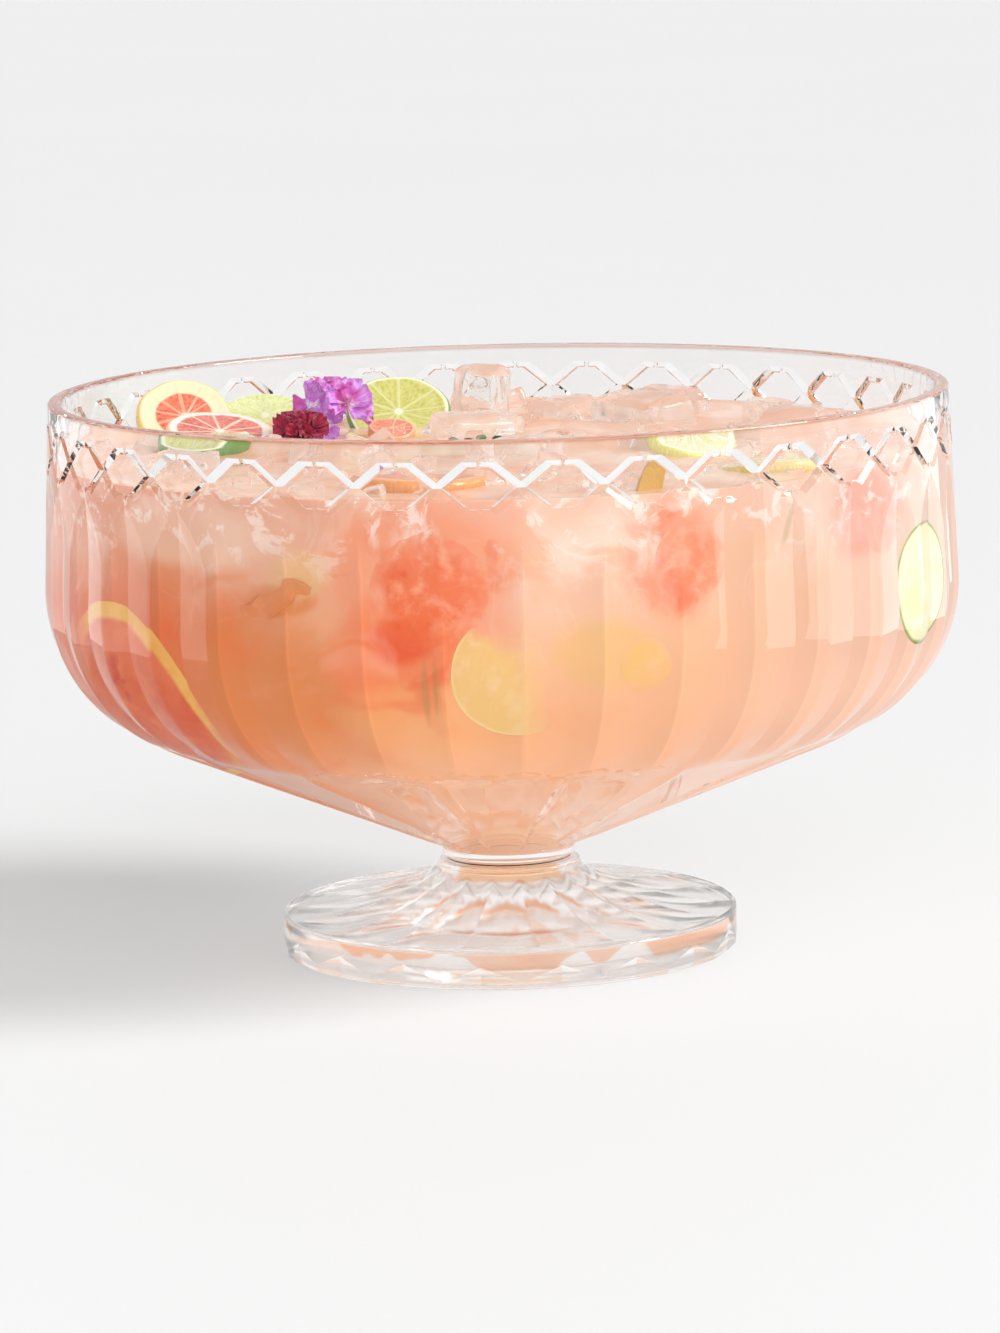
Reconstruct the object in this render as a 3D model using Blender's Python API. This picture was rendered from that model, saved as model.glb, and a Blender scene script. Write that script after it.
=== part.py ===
# Footed punch bowl, full of iced punch with citrus slices, flowers and herbs.
# Metres, +Z up. Origin: centre of the foot's underside. The front looks along -Y.
# Angles round the bowl are measured from the front, positive towards +X.
import bpy
import bmesh
import math
from mathutils import Vector, Matrix

# ------------------------------------------------------------------ dimensions
RIM_R = 0.1650          # outer radius at the rim (13 in across)
RIM_Z = 0.2080          # height of the rim above the table
BELLY_R = 0.1682        # widest outer radius, where the shoulder starts
BELLY_Z = 0.1372
SHOULDER_R = 0.0565     # radius of the outer shoulder
CONE_DEG = 23.1         # slope of the cone under the shoulder
COLLAR_R = 0.0245       # short collar under the cone
COLLAR_Z = 0.0344       # underside of the collar
RIM_WALL = 0.0050       # glass thickness at the rim
CONE_WALL = 0.0065      # glass thickness of the cone
INNER_BELLY_R = 0.1596  # inside radius at the shoulder, a little less than at the rim
INNER_SHOULDER_R = 0.0500
INNER_TIP_R = 0.0100    # where the inside of the cone turns into its rounded tip

FLUTES = 36             # mitre-cut flutes round the bowl
FLUTE_SHIFT = -2.5      # degrees from the front to the middle of a flute
FLUTE_DEPTH = 0.0016
FLUTE_TOP_Z = 0.1810    # pointed tops of the flutes
FLUTE_FULL_Z = 0.1500   # below this the flutes have their full depth

FOOT_R = 0.0843
FOOT_EDGE_Z = 0.0150    # height of the foot's plain edge
FOOT_NECK_R = 0.0267
FOOT_NECK_Z = 0.0292
FOOT_TOP_Z = 0.0334
FOOT_EDGE_ROUND = 0.0015
FOOT_RECESS_R = 0.0600
FOOT_RECESS = 0.0022
FOOT_FLUTES = 18
FOOT_FLUTE_DEPTH = 0.0012

BOND_R = 0.0232
BOND_LOW, BOND_HIGH = 0.0337, 0.0341

LEVEL = 0.1860          # surface of the punch
GAP = 0.0004            # liquid to glass
LIFT = 0.0600           # height of the free space over a floating piece

# ------------------------------------------------------------------ clean start
for ob in list(bpy.data.objects):
    bpy.data.objects.remove(ob, do_unlink=True)


def material(name, rgb, rough, alpha=1.0, trans=0.0, ior=1.45):
    m = bpy.data.materials.new(name)
    m.use_nodes = True
    b = m.node_tree.nodes["Principled BSDF"]
    b.inputs["Base Color"].default_value = (rgb[0], rgb[1], rgb[2], 1.0)
    b.inputs["Roughness"].default_value = rough
    b.inputs["Metallic"].default_value = 0.0
    b.inputs["Transmission Weight"].default_value = trans
    b.inputs["IOR"].default_value = ior
    b.inputs["Alpha"].default_value = alpha
    m.diffuse_color = (rgb[0], rgb[1], rgb[2], 1.0)
    return m


GLASS = (0.95, 0.96, 0.96)
PEACH = (0.93, 0.60, 0.43)
CORAL = (0.88, 0.33, 0.24)
LIME = (0.72, 0.78, 0.30)
LEMON = (0.95, 0.78, 0.36)
ORANGE = (0.93, 0.55, 0.20)
ICE = (0.96, 0.93, 0.91)
VIOLET = (0.52, 0.18, 0.62)
CRIMSON = (0.45, 0.04, 0.10)
HERB = (0.25, 0.36, 0.12)


def add(name, bm, mat, smooth=35.0):
    bmesh.ops.recalc_face_normals(bm, faces=bm.faces)
    me = bpy.data.meshes.new(name)
    bm.to_mesh(me)
    bm.free()
    me.shade_smooth()
    me.set_sharp_from_angle(angle=math.radians(smooth))
    ob = bpy.data.objects.new(name, me)
    bpy.context.scene.collection.objects.link(ob)
    me.materials.append(mat)
    return ob


def polar(theta_deg, r, z):
    t = math.radians(theta_deg)
    return Vector((r * math.sin(t), -r * math.cos(t), z))


def lathe(profile, n, shift=0.0, shape=None):
    """Closed body turned from (r, z) points that start and end on the axis."""
    bm = bmesh.new()
    rings = []
    for i, (r, z) in enumerate(profile):
        if r < 1e-9:
            rings.append([bm.verts.new((0.0, 0.0, z))])
            continue
        ring = []
        for k in range(n):
            rr, zz = (r, z) if shape is None else shape(i, k, r, z)
            ring.append(bm.verts.new(polar(shift + 360.0 * k / n, rr, zz)))
        rings.append(ring)
    for a, b in zip(rings[:-1], rings[1:]):
        for k in range(n):
            j = (k + 1) % n
            if len(a) == 1:
                bm.faces.new((a[0], b[k], b[j]))
            elif len(b) == 1:
                bm.faces.new((a[k], b[0], a[j]))
            else:
                bm.faces.new((a[k], b[k], b[j], a[j]))
    return bm


# ------------------------------------------------------------------ profiles
ALPHA = math.radians(CONE_DEG)
SA, CA, TA = math.sin(ALPHA), math.cos(ALPHA), math.tan(ALPHA)


def arc(cx, cz, rho, steps):
    """From level outwards, turning down until the wall has the cone's slope."""
    pts = []
    for i in range(steps + 1):
        a = (math.pi / 2 - ALPHA) * i / steps
        pts.append((cx + rho * math.cos(a), cz - rho * math.sin(a)))
    return pts


OUT_ARC = arc(BELLY_R - SHOULDER_R, BELLY_Z, SHOULDER_R, 6)
CONE_R0, CONE_Z0 = OUT_ARC[-1]
CONE_END_Z = CONE_Z0 - (CONE_R0 - COLLAR_R) * TA

# inside of the cone: the outer cone moved inwards by its wall
IN_R0, IN_Z0 = CONE_R0 - CONE_WALL * SA, CONE_Z0 + CONE_WALL * CA
IN_CX = INNER_BELLY_R - INNER_SHOULDER_R
IN_CZ = IN_Z0 + (INNER_SHOULDER_R + (IN_CX - IN_R0) * SA) / CA
TIP_Z = IN_Z0 - (IN_R0 - INNER_TIP_R) * TA
TIP_BALL = INNER_TIP_R / SA
TIP_CZ = TIP_Z + TIP_BALL * CA


def inner_profile(arc_steps, wall_steps, cone_steps, tip_steps):
    pts = []
    top_r = RIM_R - RIM_WALL
    for i in range(wall_steps):
        t = i / wall_steps
        pts.append((top_r + (INNER_BELLY_R - top_r) * t, RIM_Z + (IN_CZ - RIM_Z) * t))
    pts += arc(IN_CX, IN_CZ, INNER_SHOULDER_R, arc_steps)
    r0, z0 = pts[-1]
    for i in range(1, cone_steps + 1):
        t = i / cone_steps
        pts.append((r0 + (INNER_TIP_R - r0) * t, z0 + (TIP_Z - z0) * t))
    for i in range(1, tip_steps + 1):
        a = ALPHA * (1.0 - i / tip_steps)
        pts.append((TIP_BALL * math.sin(a), TIP_CZ - TIP_BALL * math.cos(a)))
    pts[-1] = (0.0, TIP_CZ - TIP_BALL)
    return pts


FINE = inner_profile(60, 60, 60, 12)
FINE_S = [0.0]
for p, q in zip(FINE[:-1], FINE[1:]):
    FINE_S.append(FINE_S[-1] + math.hypot(q[0] - p[0], q[1] - p[1]))


def inside(s):
    """Point and inward normal of the bowl's inside, s metres below the rim."""
    s = min(max(s, 0.0), FINE_S[-1])
    i = 0
    while i < len(FINE_S) - 2 and FINE_S[i + 1] < s:
        i += 1
    t = (s - FINE_S[i]) / (FINE_S[i + 1] - FINE_S[i])
    (r0, z0), (r1, z1) = FINE[i], FINE[i + 1]
    d = math.hypot(r1 - r0, z1 - z0)
    tr, tz = (r1 - r0) / d, (z1 - z0) / d
    return r0 + (r1 - r0) * t, z0 + (z1 - z0) * t, tz, -tr


def depth_of(z):
    """Distance below the rim, along the wall, of the height z."""
    for i in range(len(FINE) - 1):
        if FINE[i][1] >= z >= FINE[i + 1][1]:
            t = (FINE[i][1] - z) / (FINE[i][1] - FINE[i + 1][1])
            return FINE_S[i] + t * (FINE_S[i + 1] - FINE_S[i])
    return FINE_S[-1]


# ------------------------------------------------------------------ bowl
SEG = 2 * FLUTES
inner_cad = inner_profile(5, 3, 3, 2)
rim_mid = RIM_R - RIM_WALL / 2
bowl_profile = list(reversed(inner_cad))
bowl_profile[-1] = (bowl_profile[-1][0], RIM_Z - 0.0016)
bowl_profile += [(RIM_R - RIM_WALL + 0.0014, RIM_Z), (RIM_R - 0.0014, RIM_Z)]
FIRST_OUT = len(bowl_profile)


def wall_r(z):
    t = (RIM_Z - z) / (RIM_Z - BELLY_Z)
    return RIM_R + (BELLY_R - RIM_R) * t


for z in (RIM_Z - 0.0016, FLUTE_TOP_Z, FLUTE_FULL_Z):
    bowl_profile.append((wall_r(z), z))
bowl_profile += OUT_ARC
for i in (1, 2, 3):
    t = i / 3
    bowl_profile.append((CONE_R0 + (COLLAR_R - CONE_R0) * t,
                         CONE_Z0 + (CONE_END_Z - CONE_Z0) * t))
bowl_profile += [(COLLAR_R, COLLAR_Z), (0.0, COLLAR_Z)]


def bowl_shape(i, k, r, z):
    """Every second line down the outside is the bottom of a mitre cut."""
    if i < FIRST_OUT or k % 2 == 1 or r <= COLLAR_R + 1e-6:
        return r, z
    f = min(max((FLUTE_TOP_Z - z) / (FLUTE_TOP_Z - FLUTE_FULL_Z), 0.0), 1.0)
    f *= min(1.0, (r - COLLAR_R) / 0.06)
    return r - FLUTE_DEPTH * f, z


bowl = add("bowl", lathe(bowl_profile, SEG, FLUTE_SHIFT, bowl_shape),
           material("clear_glass", GLASS, 0.03, trans=1.0, ior=1.5), 3.0)

# ------------------------------------------------------------------ foot and bond
flare = []
for i in range(1, 7):
    t = i / 6
    r = FOOT_NECK_R + (FOOT_R - FOOT_EDGE_ROUND - FOOT_NECK_R) * t
    flare.append((r, FOOT_EDGE_Z + (FOOT_NECK_Z - FOOT_EDGE_Z) * (1.0 - t) ** 1.9))
foot_profile = [(0.0, FOOT_TOP_Z), (FOOT_NECK_R - 0.0012, FOOT_TOP_Z),
                (FOOT_NECK_R, FOOT_TOP_Z - 0.0012), (FOOT_NECK_R, FOOT_NECK_Z)]
foot_profile += flare
foot_profile += [(FOOT_R, FOOT_EDGE_Z - FOOT_EDGE_ROUND), (FOOT_R, 0.0010), (FOOT_R - 0.0010, 0.0),
                 (FOOT_RECESS_R, 0.0), (FOOT_RECESS_R - 0.0030, FOOT_RECESS), (0.0, FOOT_RECESS)]


def foot_shape(i, k, r, z):
    if 4 <= i <= 8 and k % 2 == 0:
        return r, z - FOOT_FLUTE_DEPTH
    return r, z


foot = add("foot", lathe(foot_profile, 2 * FOOT_FLUTES, 0.0, foot_shape),
           material("foot_glass", GLASS, 0.03, trans=1.0, ior=1.5), 3.0)
bond = add("bond_film", lathe([(0.0, BOND_HIGH), (BOND_R, BOND_HIGH), (BOND_R, BOND_LOW), (0.0, BOND_LOW)], 36),
           material("clear_cement", (0.90, 0.90, 0.88), 0.2, trans=1.0))


# ------------------------------------------------------------------ soft shapes
def wall_plate(theta, z, radius, near, far, squash=1.0, spin=0.0, seg=16):
    """Round slice bent to the bowl's inside, from near to far behind the glass."""
    s0 = depth_of(z)
    r0 = inside(s0)[0]
    rings = max(2, math.ceil(radius / 0.011))
    ca, sa = math.cos(math.radians(spin)), math.sin(math.radians(spin))

    def point(u, v, off):
        u, v = u * ca - v * sa, u * sa + v * ca
        r, zz, nr, nz = inside(s0 - v)
        return polar(theta + math.degrees(u / r0), r + nr * off, zz + nz * off)

    bm = bmesh.new()
    faces = []
    for off in (near, far):
        mid = bm.verts.new(point(0.0, 0.0, off))
        prev = None
        for i in range(1, rings + 1):
            a = radius * i / rings
            ring = [bm.verts.new(point(a * math.cos(2 * math.pi * k / seg),
                                       a * squash * math.sin(2 * math.pi * k / seg), off)) for k in range(seg)]
            for k in range(seg):
                j = (k + 1) % seg
                if prev is None:
                    bm.faces.new((mid, ring[k], ring[j]))
                else:
                    bm.faces.new((prev[k], ring[k], ring[j], prev[j]))
            prev = ring
        faces.append(prev)
    for k in range(seg):
        j = (k + 1) % seg
        bm.faces.new((faces[0][k], faces[1][k], faces[1][j], faces[0][j]))
    return bm


def disc_points(radius, thick, seg=18, round_edge=0.0012):
    pts = []
    for zz, rr in ((-thick / 2, radius - round_edge), (-thick / 2 + round_edge, radius),
                   (thick / 2 - round_edge, radius), (thick / 2, radius - round_edge)):
        for k in range(seg):
            t = 2 * math.pi * k / seg
            pts.append(Vector((rr * math.cos(t), rr * math.sin(t), zz)))
    return pts


def ice_points(sx, sy, sz, turn):
    """Worn block: a box with cut corners, leaning a little."""
    pts = []
    cut = 0.72
    for ax in range(3):
        for ix in (-1, 1):
            for iy in (-1, 1):
                for iz in (-1, 1):
                    v = [ix * cut, iy * cut, iz * cut]
                    v[ax] = [ix, iy, iz][ax]
                    lean = 0.10 * math.sin(3.1 * turn + ix + 2.0 * iy + 3.0 * iz)
                    pts.append(Vector((v[0] * (1.0 - abs(lean)) * sx / 2, v[1] * (1.0 - abs(lean) / 2) * sy / 2,
                                       v[2] * sz / 2)))
    return pts


def dome_points(rx, ry, rz, seg=14):
    pts = [Vector((0.0, 0.0, rz)), Vector((0.0, 0.0, -rz))]
    for lat in (-54, -18, 18, 54):
        for k in range(seg):
            t = 2 * math.pi * k / seg
            c = math.cos(math.radians(lat))
            pts.append(Vector((rx * c * math.cos(t), ry * c * math.sin(t), rz * math.sin(math.radians(lat)))))
    return pts


def hull(points):
    bm = bmesh.new()
    for p in points:
        bm.verts.new(p)
    out = bmesh.ops.convex_hull(bm, input=list(bm.verts), use_existing_faces=False)
    loose = [v for v in bm.verts if not v.link_faces]
    bmesh.ops.delete(bm, geom=loose, context='VERTS')
    bmesh.ops.dissolve_limit(bm, angle_limit=math.radians(0.5), verts=bm.verts, edges=bm.edges)
    return bm


CUTTERS = []


def cutter(name, bm):
    ob = add(name, bm, MARK)
    ob.hide_render = True
    ob.display_type = 'WIRE'
    CUTTERS.append(ob)


MARK = material("cutter", (0.5, 0.5, 0.5), 0.5)


def at_wall(name, theta, z, radius, thick, mat, layer=0.0007, squash=1.0, spin=0.0):
    """Slice lying against the glass; the punch is hollowed for it, open to the wall."""
    ob = add(name, wall_plate(theta, z, radius, layer, layer + thick, squash, spin), mat)
    grow = (radius + 0.0006) / radius
    cutter("cut_" + name, wall_plate(theta, z, radius * grow, -0.0015, layer + thick + 0.0004, squash, spin))
    return ob


def afloat(name, points, x, y, z, mat, normal=(0, 0, 1), turn=0.0):
    """Convex floating piece; the punch is hollowed for it, open upwards so that it lifts out."""
    rot = Vector((0, 0, 1)).rotation_difference(Vector(normal).normalized()).to_matrix() @ \
        Matrix.Rotation(math.radians(turn), 3, 'Z')
    at = Vector((x, y, z))
    ob = add(name, hull(points), mat)
    ob.location = at
    ob.rotation_euler = rot.to_euler()
    around = []
    for p in points:
        w = rot @ p
        g = w + w.normalized() * 0.0008
        around.append(at + g)
        around.append(at + g + Vector((0, 0, LIFT)))
    cutter("cut_" + name, hull(around))
    return ob


# ------------------------------------------------------------------ materials of the contents
m_punch = material("peach_punch", PEACH, 0.15)
m_grape = material("grapefruit", CORAL, 0.35)
m_lime = material("lime", LIME, 0.35)
m_lemon = material("lemon", LEMON, 0.35)
m_orange = material("orange", ORANGE, 0.35)
m_ice = material("ice", ICE, 0.1, trans=0.9, ior=1.31)
m_violet = material("violet_petals", VIOLET, 0.5)
m_crimson = material("crimson_petals", CRIMSON, 0.5)
m_herb = material("herb", HERB, 0.5)

# ------------------------------------------------------------------ slices at the wall
at_wall("grapefruit_slice_left", -57.5, 106.0e-3, 0.0420, 0.0050, m_grape)
at_wall("orange_peel_twist", -29.0, 151.5e-3, 0.0160, 0.0030, m_orange, squash=0.55, spin=20.0)
at_wall("grapefruit_slice_front", -9.0, 155.0e-3, 0.0290, 0.0050, m_grape, layer=0.0056)
at_wall("lemon_slice_front", 1.5, 127.0e-3, 0.0230, 0.0042, m_lemon)
at_wall("lemon_slice_low", 17.5, 128.0e-3, 0.0140, 0.0042, m_lemon)
at_wall("grapefruit_slice_right", 23.5, 162.5e-3, 0.0185, 0.0050, m_grape)
at_wall("lime_slice_right", 66.5, 142.5e-3, 0.0220, 0.0045, m_lime)
at_wall("grapefruit_wedge_right", 55.5, 166.0e-3, 0.0145, 0.0050, m_grape)
at_wall("lemon_slice_far_right", 104.0, 124.0e-3, 0.0240, 0.0042, m_lemon)
at_wall("lime_slice_far", 141.0, 154.0e-3, 0.0210, 0.0045, m_lime)
at_wall("orange_slice_far", 173.0, 134.0e-3, 0.0300, 0.0050, m_orange)
at_wall("grapefruit_slice_far", -146.0, 145.0e-3, 0.0320, 0.0050, m_grape)
at_wall("lemon_slice_far_left", -104.0, 150.0e-3, 0.0230, 0.0042, m_lemon)

# ------------------------------------------------------------------ pieces afloat
afloat("lime_slice_standing", disc_points(0.0200, 0.0045), -0.038, 0.078, 0.1900, m_lime, (0.05, -0.65, 0.76))
afloat("grapefruit_slice_standing", disc_points(0.0185, 0.0050), -0.119, 0.066, 0.1915, m_grape, (0.20, -0.69, 0.69))
afloat("grapefruit_slice_flat", disc_points(0.0200, 0.0050), -0.104, 0.030, 0.1890, m_grape, (0.10, -0.28, 0.95))
afloat("lime_slice_behind", disc_points(0.0180, 0.0045), -0.090, 0.102, 0.1865, m_lime, (0.08, -0.42, 0.90))
afloat("orange_slice_small", disc_points(0.0090, 0.0040), -0.040, 0.040, 0.1880, m_orange, (0.10, -0.30, 0.95))
afloat("lime_slice_flat", disc_points(0.0190, 0.0045), -0.106, -0.017, 0.1895, m_lime, (-0.05, -0.14, 1.0))
afloat("lemon_slice_right", disc_points(0.0165, 0.0042), 0.069, -0.044, 0.1885, m_lemon, (0.10, -0.22, 0.97))
afloat("lemon_slice_left", disc_points(0.0170, 0.0042), -0.060, -0.008, 0.1875, m_lemon, (0.05, 0.10, 1.0))
afloat("grapefruit_slice_near", disc_points(0.0240, 0.0050), -0.028, -0.112, 0.1870, m_grape, (0.03, 0.10, 1.0))
afloat("lime_slice_near", disc_points(0.0180, 0.0045), 0.095, -0.087, 0.1875, m_lime, (-0.08, 0.10, 1.0))

afloat("ice_tall", ice_points(0.021, 0.021, 0.030, 1.0), -0.007, 0.113, 0.1905, m_ice, (0.06, -0.05, 1.0), 14.0)
afloat("ice_middle", ice_points(0.038, 0.024, 0.026, 2.0), -0.008, 0.047, 0.1815, m_ice, (0.05, -0.08, 1.0), 6.0)
afloat("ice_right", ice_points(0.040, 0.029, 0.034, 3.0), 0.056, 0.066, 0.1815, m_ice, (-0.08, -0.10, 1.0), -12.0)
afloat("ice_far_right", ice_points(0.026, 0.023, 0.026, 4.0), 0.104, 0.084, 0.1800, m_ice, (0.10, -0.06, 1.0), 25.0)
afloat("ice_back", ice_points(0.028, 0.024, 0.028, 5.0), 0.025, 0.108, 0.1790, m_ice, (-0.05, 0.08, 1.0), 30.0)
afloat("ice_back_right", ice_points(0.027, 0.022, 0.026, 6.0), 0.067, 0.116, 0.1820, m_ice, (0.08, 0.04, 1.0), -8.0)
afloat("ice_centre_right", ice_points(0.034, 0.027, 0.028, 7.0), 0.037, 0.006, 0.1820, m_ice, (0.05, 0.05, 1.0), 40.0)
afloat("ice_side_right", ice_points(0.031, 0.026, 0.028, 8.0), 0.110, 0.026, 0.1825, m_ice, (-0.06, 0.03, 1.0), 18.0)
afloat("ice_near_left", ice_points(0.034, 0.028, 0.028, 9.0), -0.058, -0.060, 0.1820, m_ice, (0.04, 0.08, 1.0), -20.0)
afloat("ice_near", ice_points(0.036, 0.029, 0.030, 10.0), 0.006, -0.062, 0.1825, m_ice, (-0.06, 0.05, 1.0), 9.0)
afloat("ice_side_left", ice_points(0.029, 0.025, 0.026, 11.0), -0.112, -0.074, 0.1815, m_ice, (0.06, 0.05, 1.0), 33.0)

afloat("flower_violet", dome_points(0.0140, 0.0130, 0.0105), -0.062, 0.046, 0.1967, m_violet)
afloat("flower_crimson", dome_points(0.0095, 0.0085, 0.0055), -0.0735, 0.026, 0.1915, m_crimson)
afloat("herb_sprig_front", dome_points(0.0150, 0.0045, 0.0022), -0.014, -0.011, 0.1885, m_herb, (0, 0, 1), 8.0)
afloat("herb_sprig_right", dome_points(0.0100, 0.0040, 0.0022), 0.080, -0.014, 0.1885, m_herb, (0, 0, 1), -20.0)
afloat("herb_sprig_back", dome_points(0.0110, 0.0040, 0.0022), 0.062, 0.0925, 0.1885, m_herb, (0, 0, 1), 10.0)
afloat("orange_peel_upright", ice_points(0.0130, 0.0060, 0.0240, 2.0), 0.051, -0.134, 0.1865, m_orange, (0.15, 0.30, 1.0), 17.0)

# ------------------------------------------------------------------ punch
punch_profile = [(0.0, LEVEL)]
below = []
for (r, z) in inner_profile(5, 3, 3, 2):
    s = depth_of(z) if r > 1e-9 else FINE_S[-1]
    pr, pz, nr, nz = inside(s)
    if pz < LEVEL - 0.004:
        below.append((pr + nr * GAP, pz + nz * GAP) if r > 1e-9 else (0.0, pz + GAP))
sl = depth_of(LEVEL)
pr, pz, nr, nz = inside(sl)
punch_profile.append((pr + nr * GAP, LEVEL))
punch_profile += below
punch = add("punch", lathe(punch_profile, SEG, FLUTE_SHIFT), m_punch, 20.0)
for c in CUTTERS:
    mod = punch.modifiers.new(c.name, 'BOOLEAN')
    mod.operation = 'DIFFERENCE'
    mod.solver = 'EXACT'
    mod.object = c
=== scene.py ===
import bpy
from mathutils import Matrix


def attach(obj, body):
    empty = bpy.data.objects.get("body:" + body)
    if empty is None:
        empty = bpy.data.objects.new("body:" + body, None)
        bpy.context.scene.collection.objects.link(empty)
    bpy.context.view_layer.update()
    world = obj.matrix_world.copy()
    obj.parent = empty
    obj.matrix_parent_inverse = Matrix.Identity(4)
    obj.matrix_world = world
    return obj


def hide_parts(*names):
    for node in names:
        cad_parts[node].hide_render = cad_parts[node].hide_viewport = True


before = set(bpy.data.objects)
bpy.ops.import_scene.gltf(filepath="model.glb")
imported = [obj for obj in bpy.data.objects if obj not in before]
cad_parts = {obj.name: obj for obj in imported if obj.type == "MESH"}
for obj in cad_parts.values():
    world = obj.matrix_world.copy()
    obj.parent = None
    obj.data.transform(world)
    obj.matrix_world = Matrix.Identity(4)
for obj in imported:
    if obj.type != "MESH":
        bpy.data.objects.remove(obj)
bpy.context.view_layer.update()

import bpy
import bmesh
import math
import random
import numpy as np
from mathutils import Matrix, Vector, noise as mnoise
from mathutils.geometry import delaunay_2d_cdt

# ============================================================================ dimensions (as in the CAD)
RIM_R, RIM_Z = 0.1650, 0.2080
BELLY_R, BELLY_Z = 0.1682, 0.1372
SHOULDER_R, CONE_DEG = 0.0565, 23.1
COLLAR_R, COLLAR_Z = 0.0245, 0.0344
RIM_WALL, CONE_WALL = 0.0050, 0.0065
INNER_BELLY_R, INNER_SHOULDER_R, INNER_TIP_R = 0.1596, 0.0500, 0.0100
FLUTES, FLUTE_SHIFT = 36, -2.5
FOOT_R, FOOT_EDGE_Z, FOOT_NECK_R, FOOT_NECK_Z, FOOT_TOP_Z = 0.0843, 0.0150, 0.0267, 0.0292, 0.0334
LEVEL = 0.1860
ALPHA = math.radians(CONE_DEG)
SA, CA, TA = math.sin(ALPHA), math.cos(ALPHA), math.tan(ALPHA)


def lin(r, g, b):
    """sRGB 0-255 to linear."""
    out = []
    for c in (r, g, b):
        c /= 255.0
        out.append(c / 12.92 if c <= 0.04045 else ((c + 0.055) / 1.055) ** 2.4)
    return tuple(out) + (1.0,)


def polar(theta_deg, r, z):
    t = math.radians(theta_deg)
    return Vector((r * math.sin(t), -r * math.cos(t), z))


def smooth(a, b, x):
    if a == b:
        return 0.0 if x < a else 1.0
    t = min(max((x - a) / (b - a), 0.0), 1.0)
    return t * t * (3 - 2 * t)


# ============================================================================ node helper
class G:
    """Small helper to write shader nodes as expressions."""

    def __init__(self, name, tree=None):
        if tree is not None:
            self.t = tree
            return
        self.mat = bpy.data.materials.new(name)
        self.mat.use_nodes = True
        self.t = self.mat.node_tree
        self.t.nodes.clear()
        self.out = self.t.nodes.new("ShaderNodeOutputMaterial")

    def put(self, sock, v):
        if v is None:
            return
        if isinstance(v, bpy.types.NodeSocket):
            self.t.links.new(v, sock)
        else:
            if sock.type == 'RGBA' and len(v) == 3:
                v = tuple(v) + (1.0,)
            sock.default_value = v

    def node(self, kind, **props):
        n = self.t.nodes.new(kind)
        for k, v in props.items():
            setattr(n, k, v)
        return n

    def math(self, op, a, b=None, c=None, clamp=False):
        n = self.node("ShaderNodeMath", operation=op, use_clamp=clamp)
        for i, v in enumerate((a, b, c)):
            self.put(n.inputs[i], v)
        return n.outputs[0]

    def vmath(self, op, a, b=None, scale=None):
        n = self.node("ShaderNodeVectorMath", operation=op)
        self.put(n.inputs[0], a)
        if b is not None:
            self.put(n.inputs[1], b)
        if scale is not None:
            self.put(n.inputs["Scale"], scale)
        return n.outputs["Value"] if op in ("LENGTH", "DOT_PRODUCT", "DISTANCE") else n.outputs["Vector"]

    def mix(self, fac, a, b, blend='MIX'):
        n = self.node("ShaderNodeMix", data_type='RGBA', blend_type=blend)
        self.put(n.inputs["Factor"], fac)
        self.put(n.inputs[6], a)
        self.put(n.inputs[7], b)
        return n.outputs[2]

    def ramp(self, fac, stops, interp='LINEAR'):
        n = self.node("ShaderNodeValToRGB")
        r = n.color_ramp
        r.interpolation = interp
        while len(r.elements) > 1:
            r.elements.remove(r.elements[-1])
        r.elements[0].position = stops[0][0]
        r.elements[0].color = stops[0][1]
        for p, c in stops[1:]:
            e = r.elements.new(p)
            e.color = c
        self.put(n.inputs[0], fac)
        return n.outputs[0]

    def range(self, v, a, b, c=0.0, d=1.0, kind='SMOOTHSTEP'):
        n = self.node("ShaderNodeMapRange", interpolation_type=kind, clamp=True)
        for i, x in enumerate((v, a, b, c, d)):
            self.put(n.inputs[i], x)
        return n.outputs[0]

    def noise(self, vec, scale, detail=3.0, rough=0.5, dist=0.0):
        n = self.node("ShaderNodeTexNoise")
        self.put(n.inputs["Vector"], vec)
        self.put(n.inputs["Scale"], scale)
        self.put(n.inputs["Detail"], detail)
        self.put(n.inputs["Roughness"], rough)
        self.put(n.inputs["Distortion"], dist)
        return n.outputs["Fac"]

    def noise_vec(self, vec, scale, detail=2.0):
        n = self.node("ShaderNodeTexNoise")
        self.put(n.inputs["Vector"], vec)
        self.put(n.inputs["Scale"], scale)
        self.put(n.inputs["Detail"], detail)
        return n.outputs["Color"]

    def voronoi(self, vec, scale, feature='F1', out="Distance", rand=1.0):
        n = self.node("ShaderNodeTexVoronoi", feature=feature)
        self.put(n.inputs["Vector"], vec)
        self.put(n.inputs["Scale"], scale)
        self.put(n.inputs["Randomness"], rand)
        return n.outputs[out]

    def coords(self, which="Object"):
        return self.node("ShaderNodeTexCoord").outputs[which]

    def xyz(self, vec):
        n = self.node("ShaderNodeSeparateXYZ")
        self.put(n.inputs[0], vec)
        return n.outputs[0], n.outputs[1], n.outputs[2]

    def vec(self, x, y, z):
        n = self.node("ShaderNodeCombineXYZ")
        for i, v in enumerate((x, y, z)):
            self.put(n.inputs[i], v)
        return n.outputs[0]

    def bump(self, height, strength, distance, normal=None):
        n = self.node("ShaderNodeBump")
        self.put(n.inputs["Height"], height)
        n.inputs["Strength"].default_value = strength
        n.inputs["Distance"].default_value = distance
        if normal is not None:
            self.put(n.inputs["Normal"], normal)
        return n.outputs[0]

    def principled(self, **kw):
        n = self.node("ShaderNodeBsdfPrincipled")
        for k, v in kw.items():
            self.put(n.inputs[k.replace("_", " ")], v)
        return n.outputs[0]

    def done(self, shader):
        self.t.links.new(shader, self.out.inputs["Surface"])
        return self.mat


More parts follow.
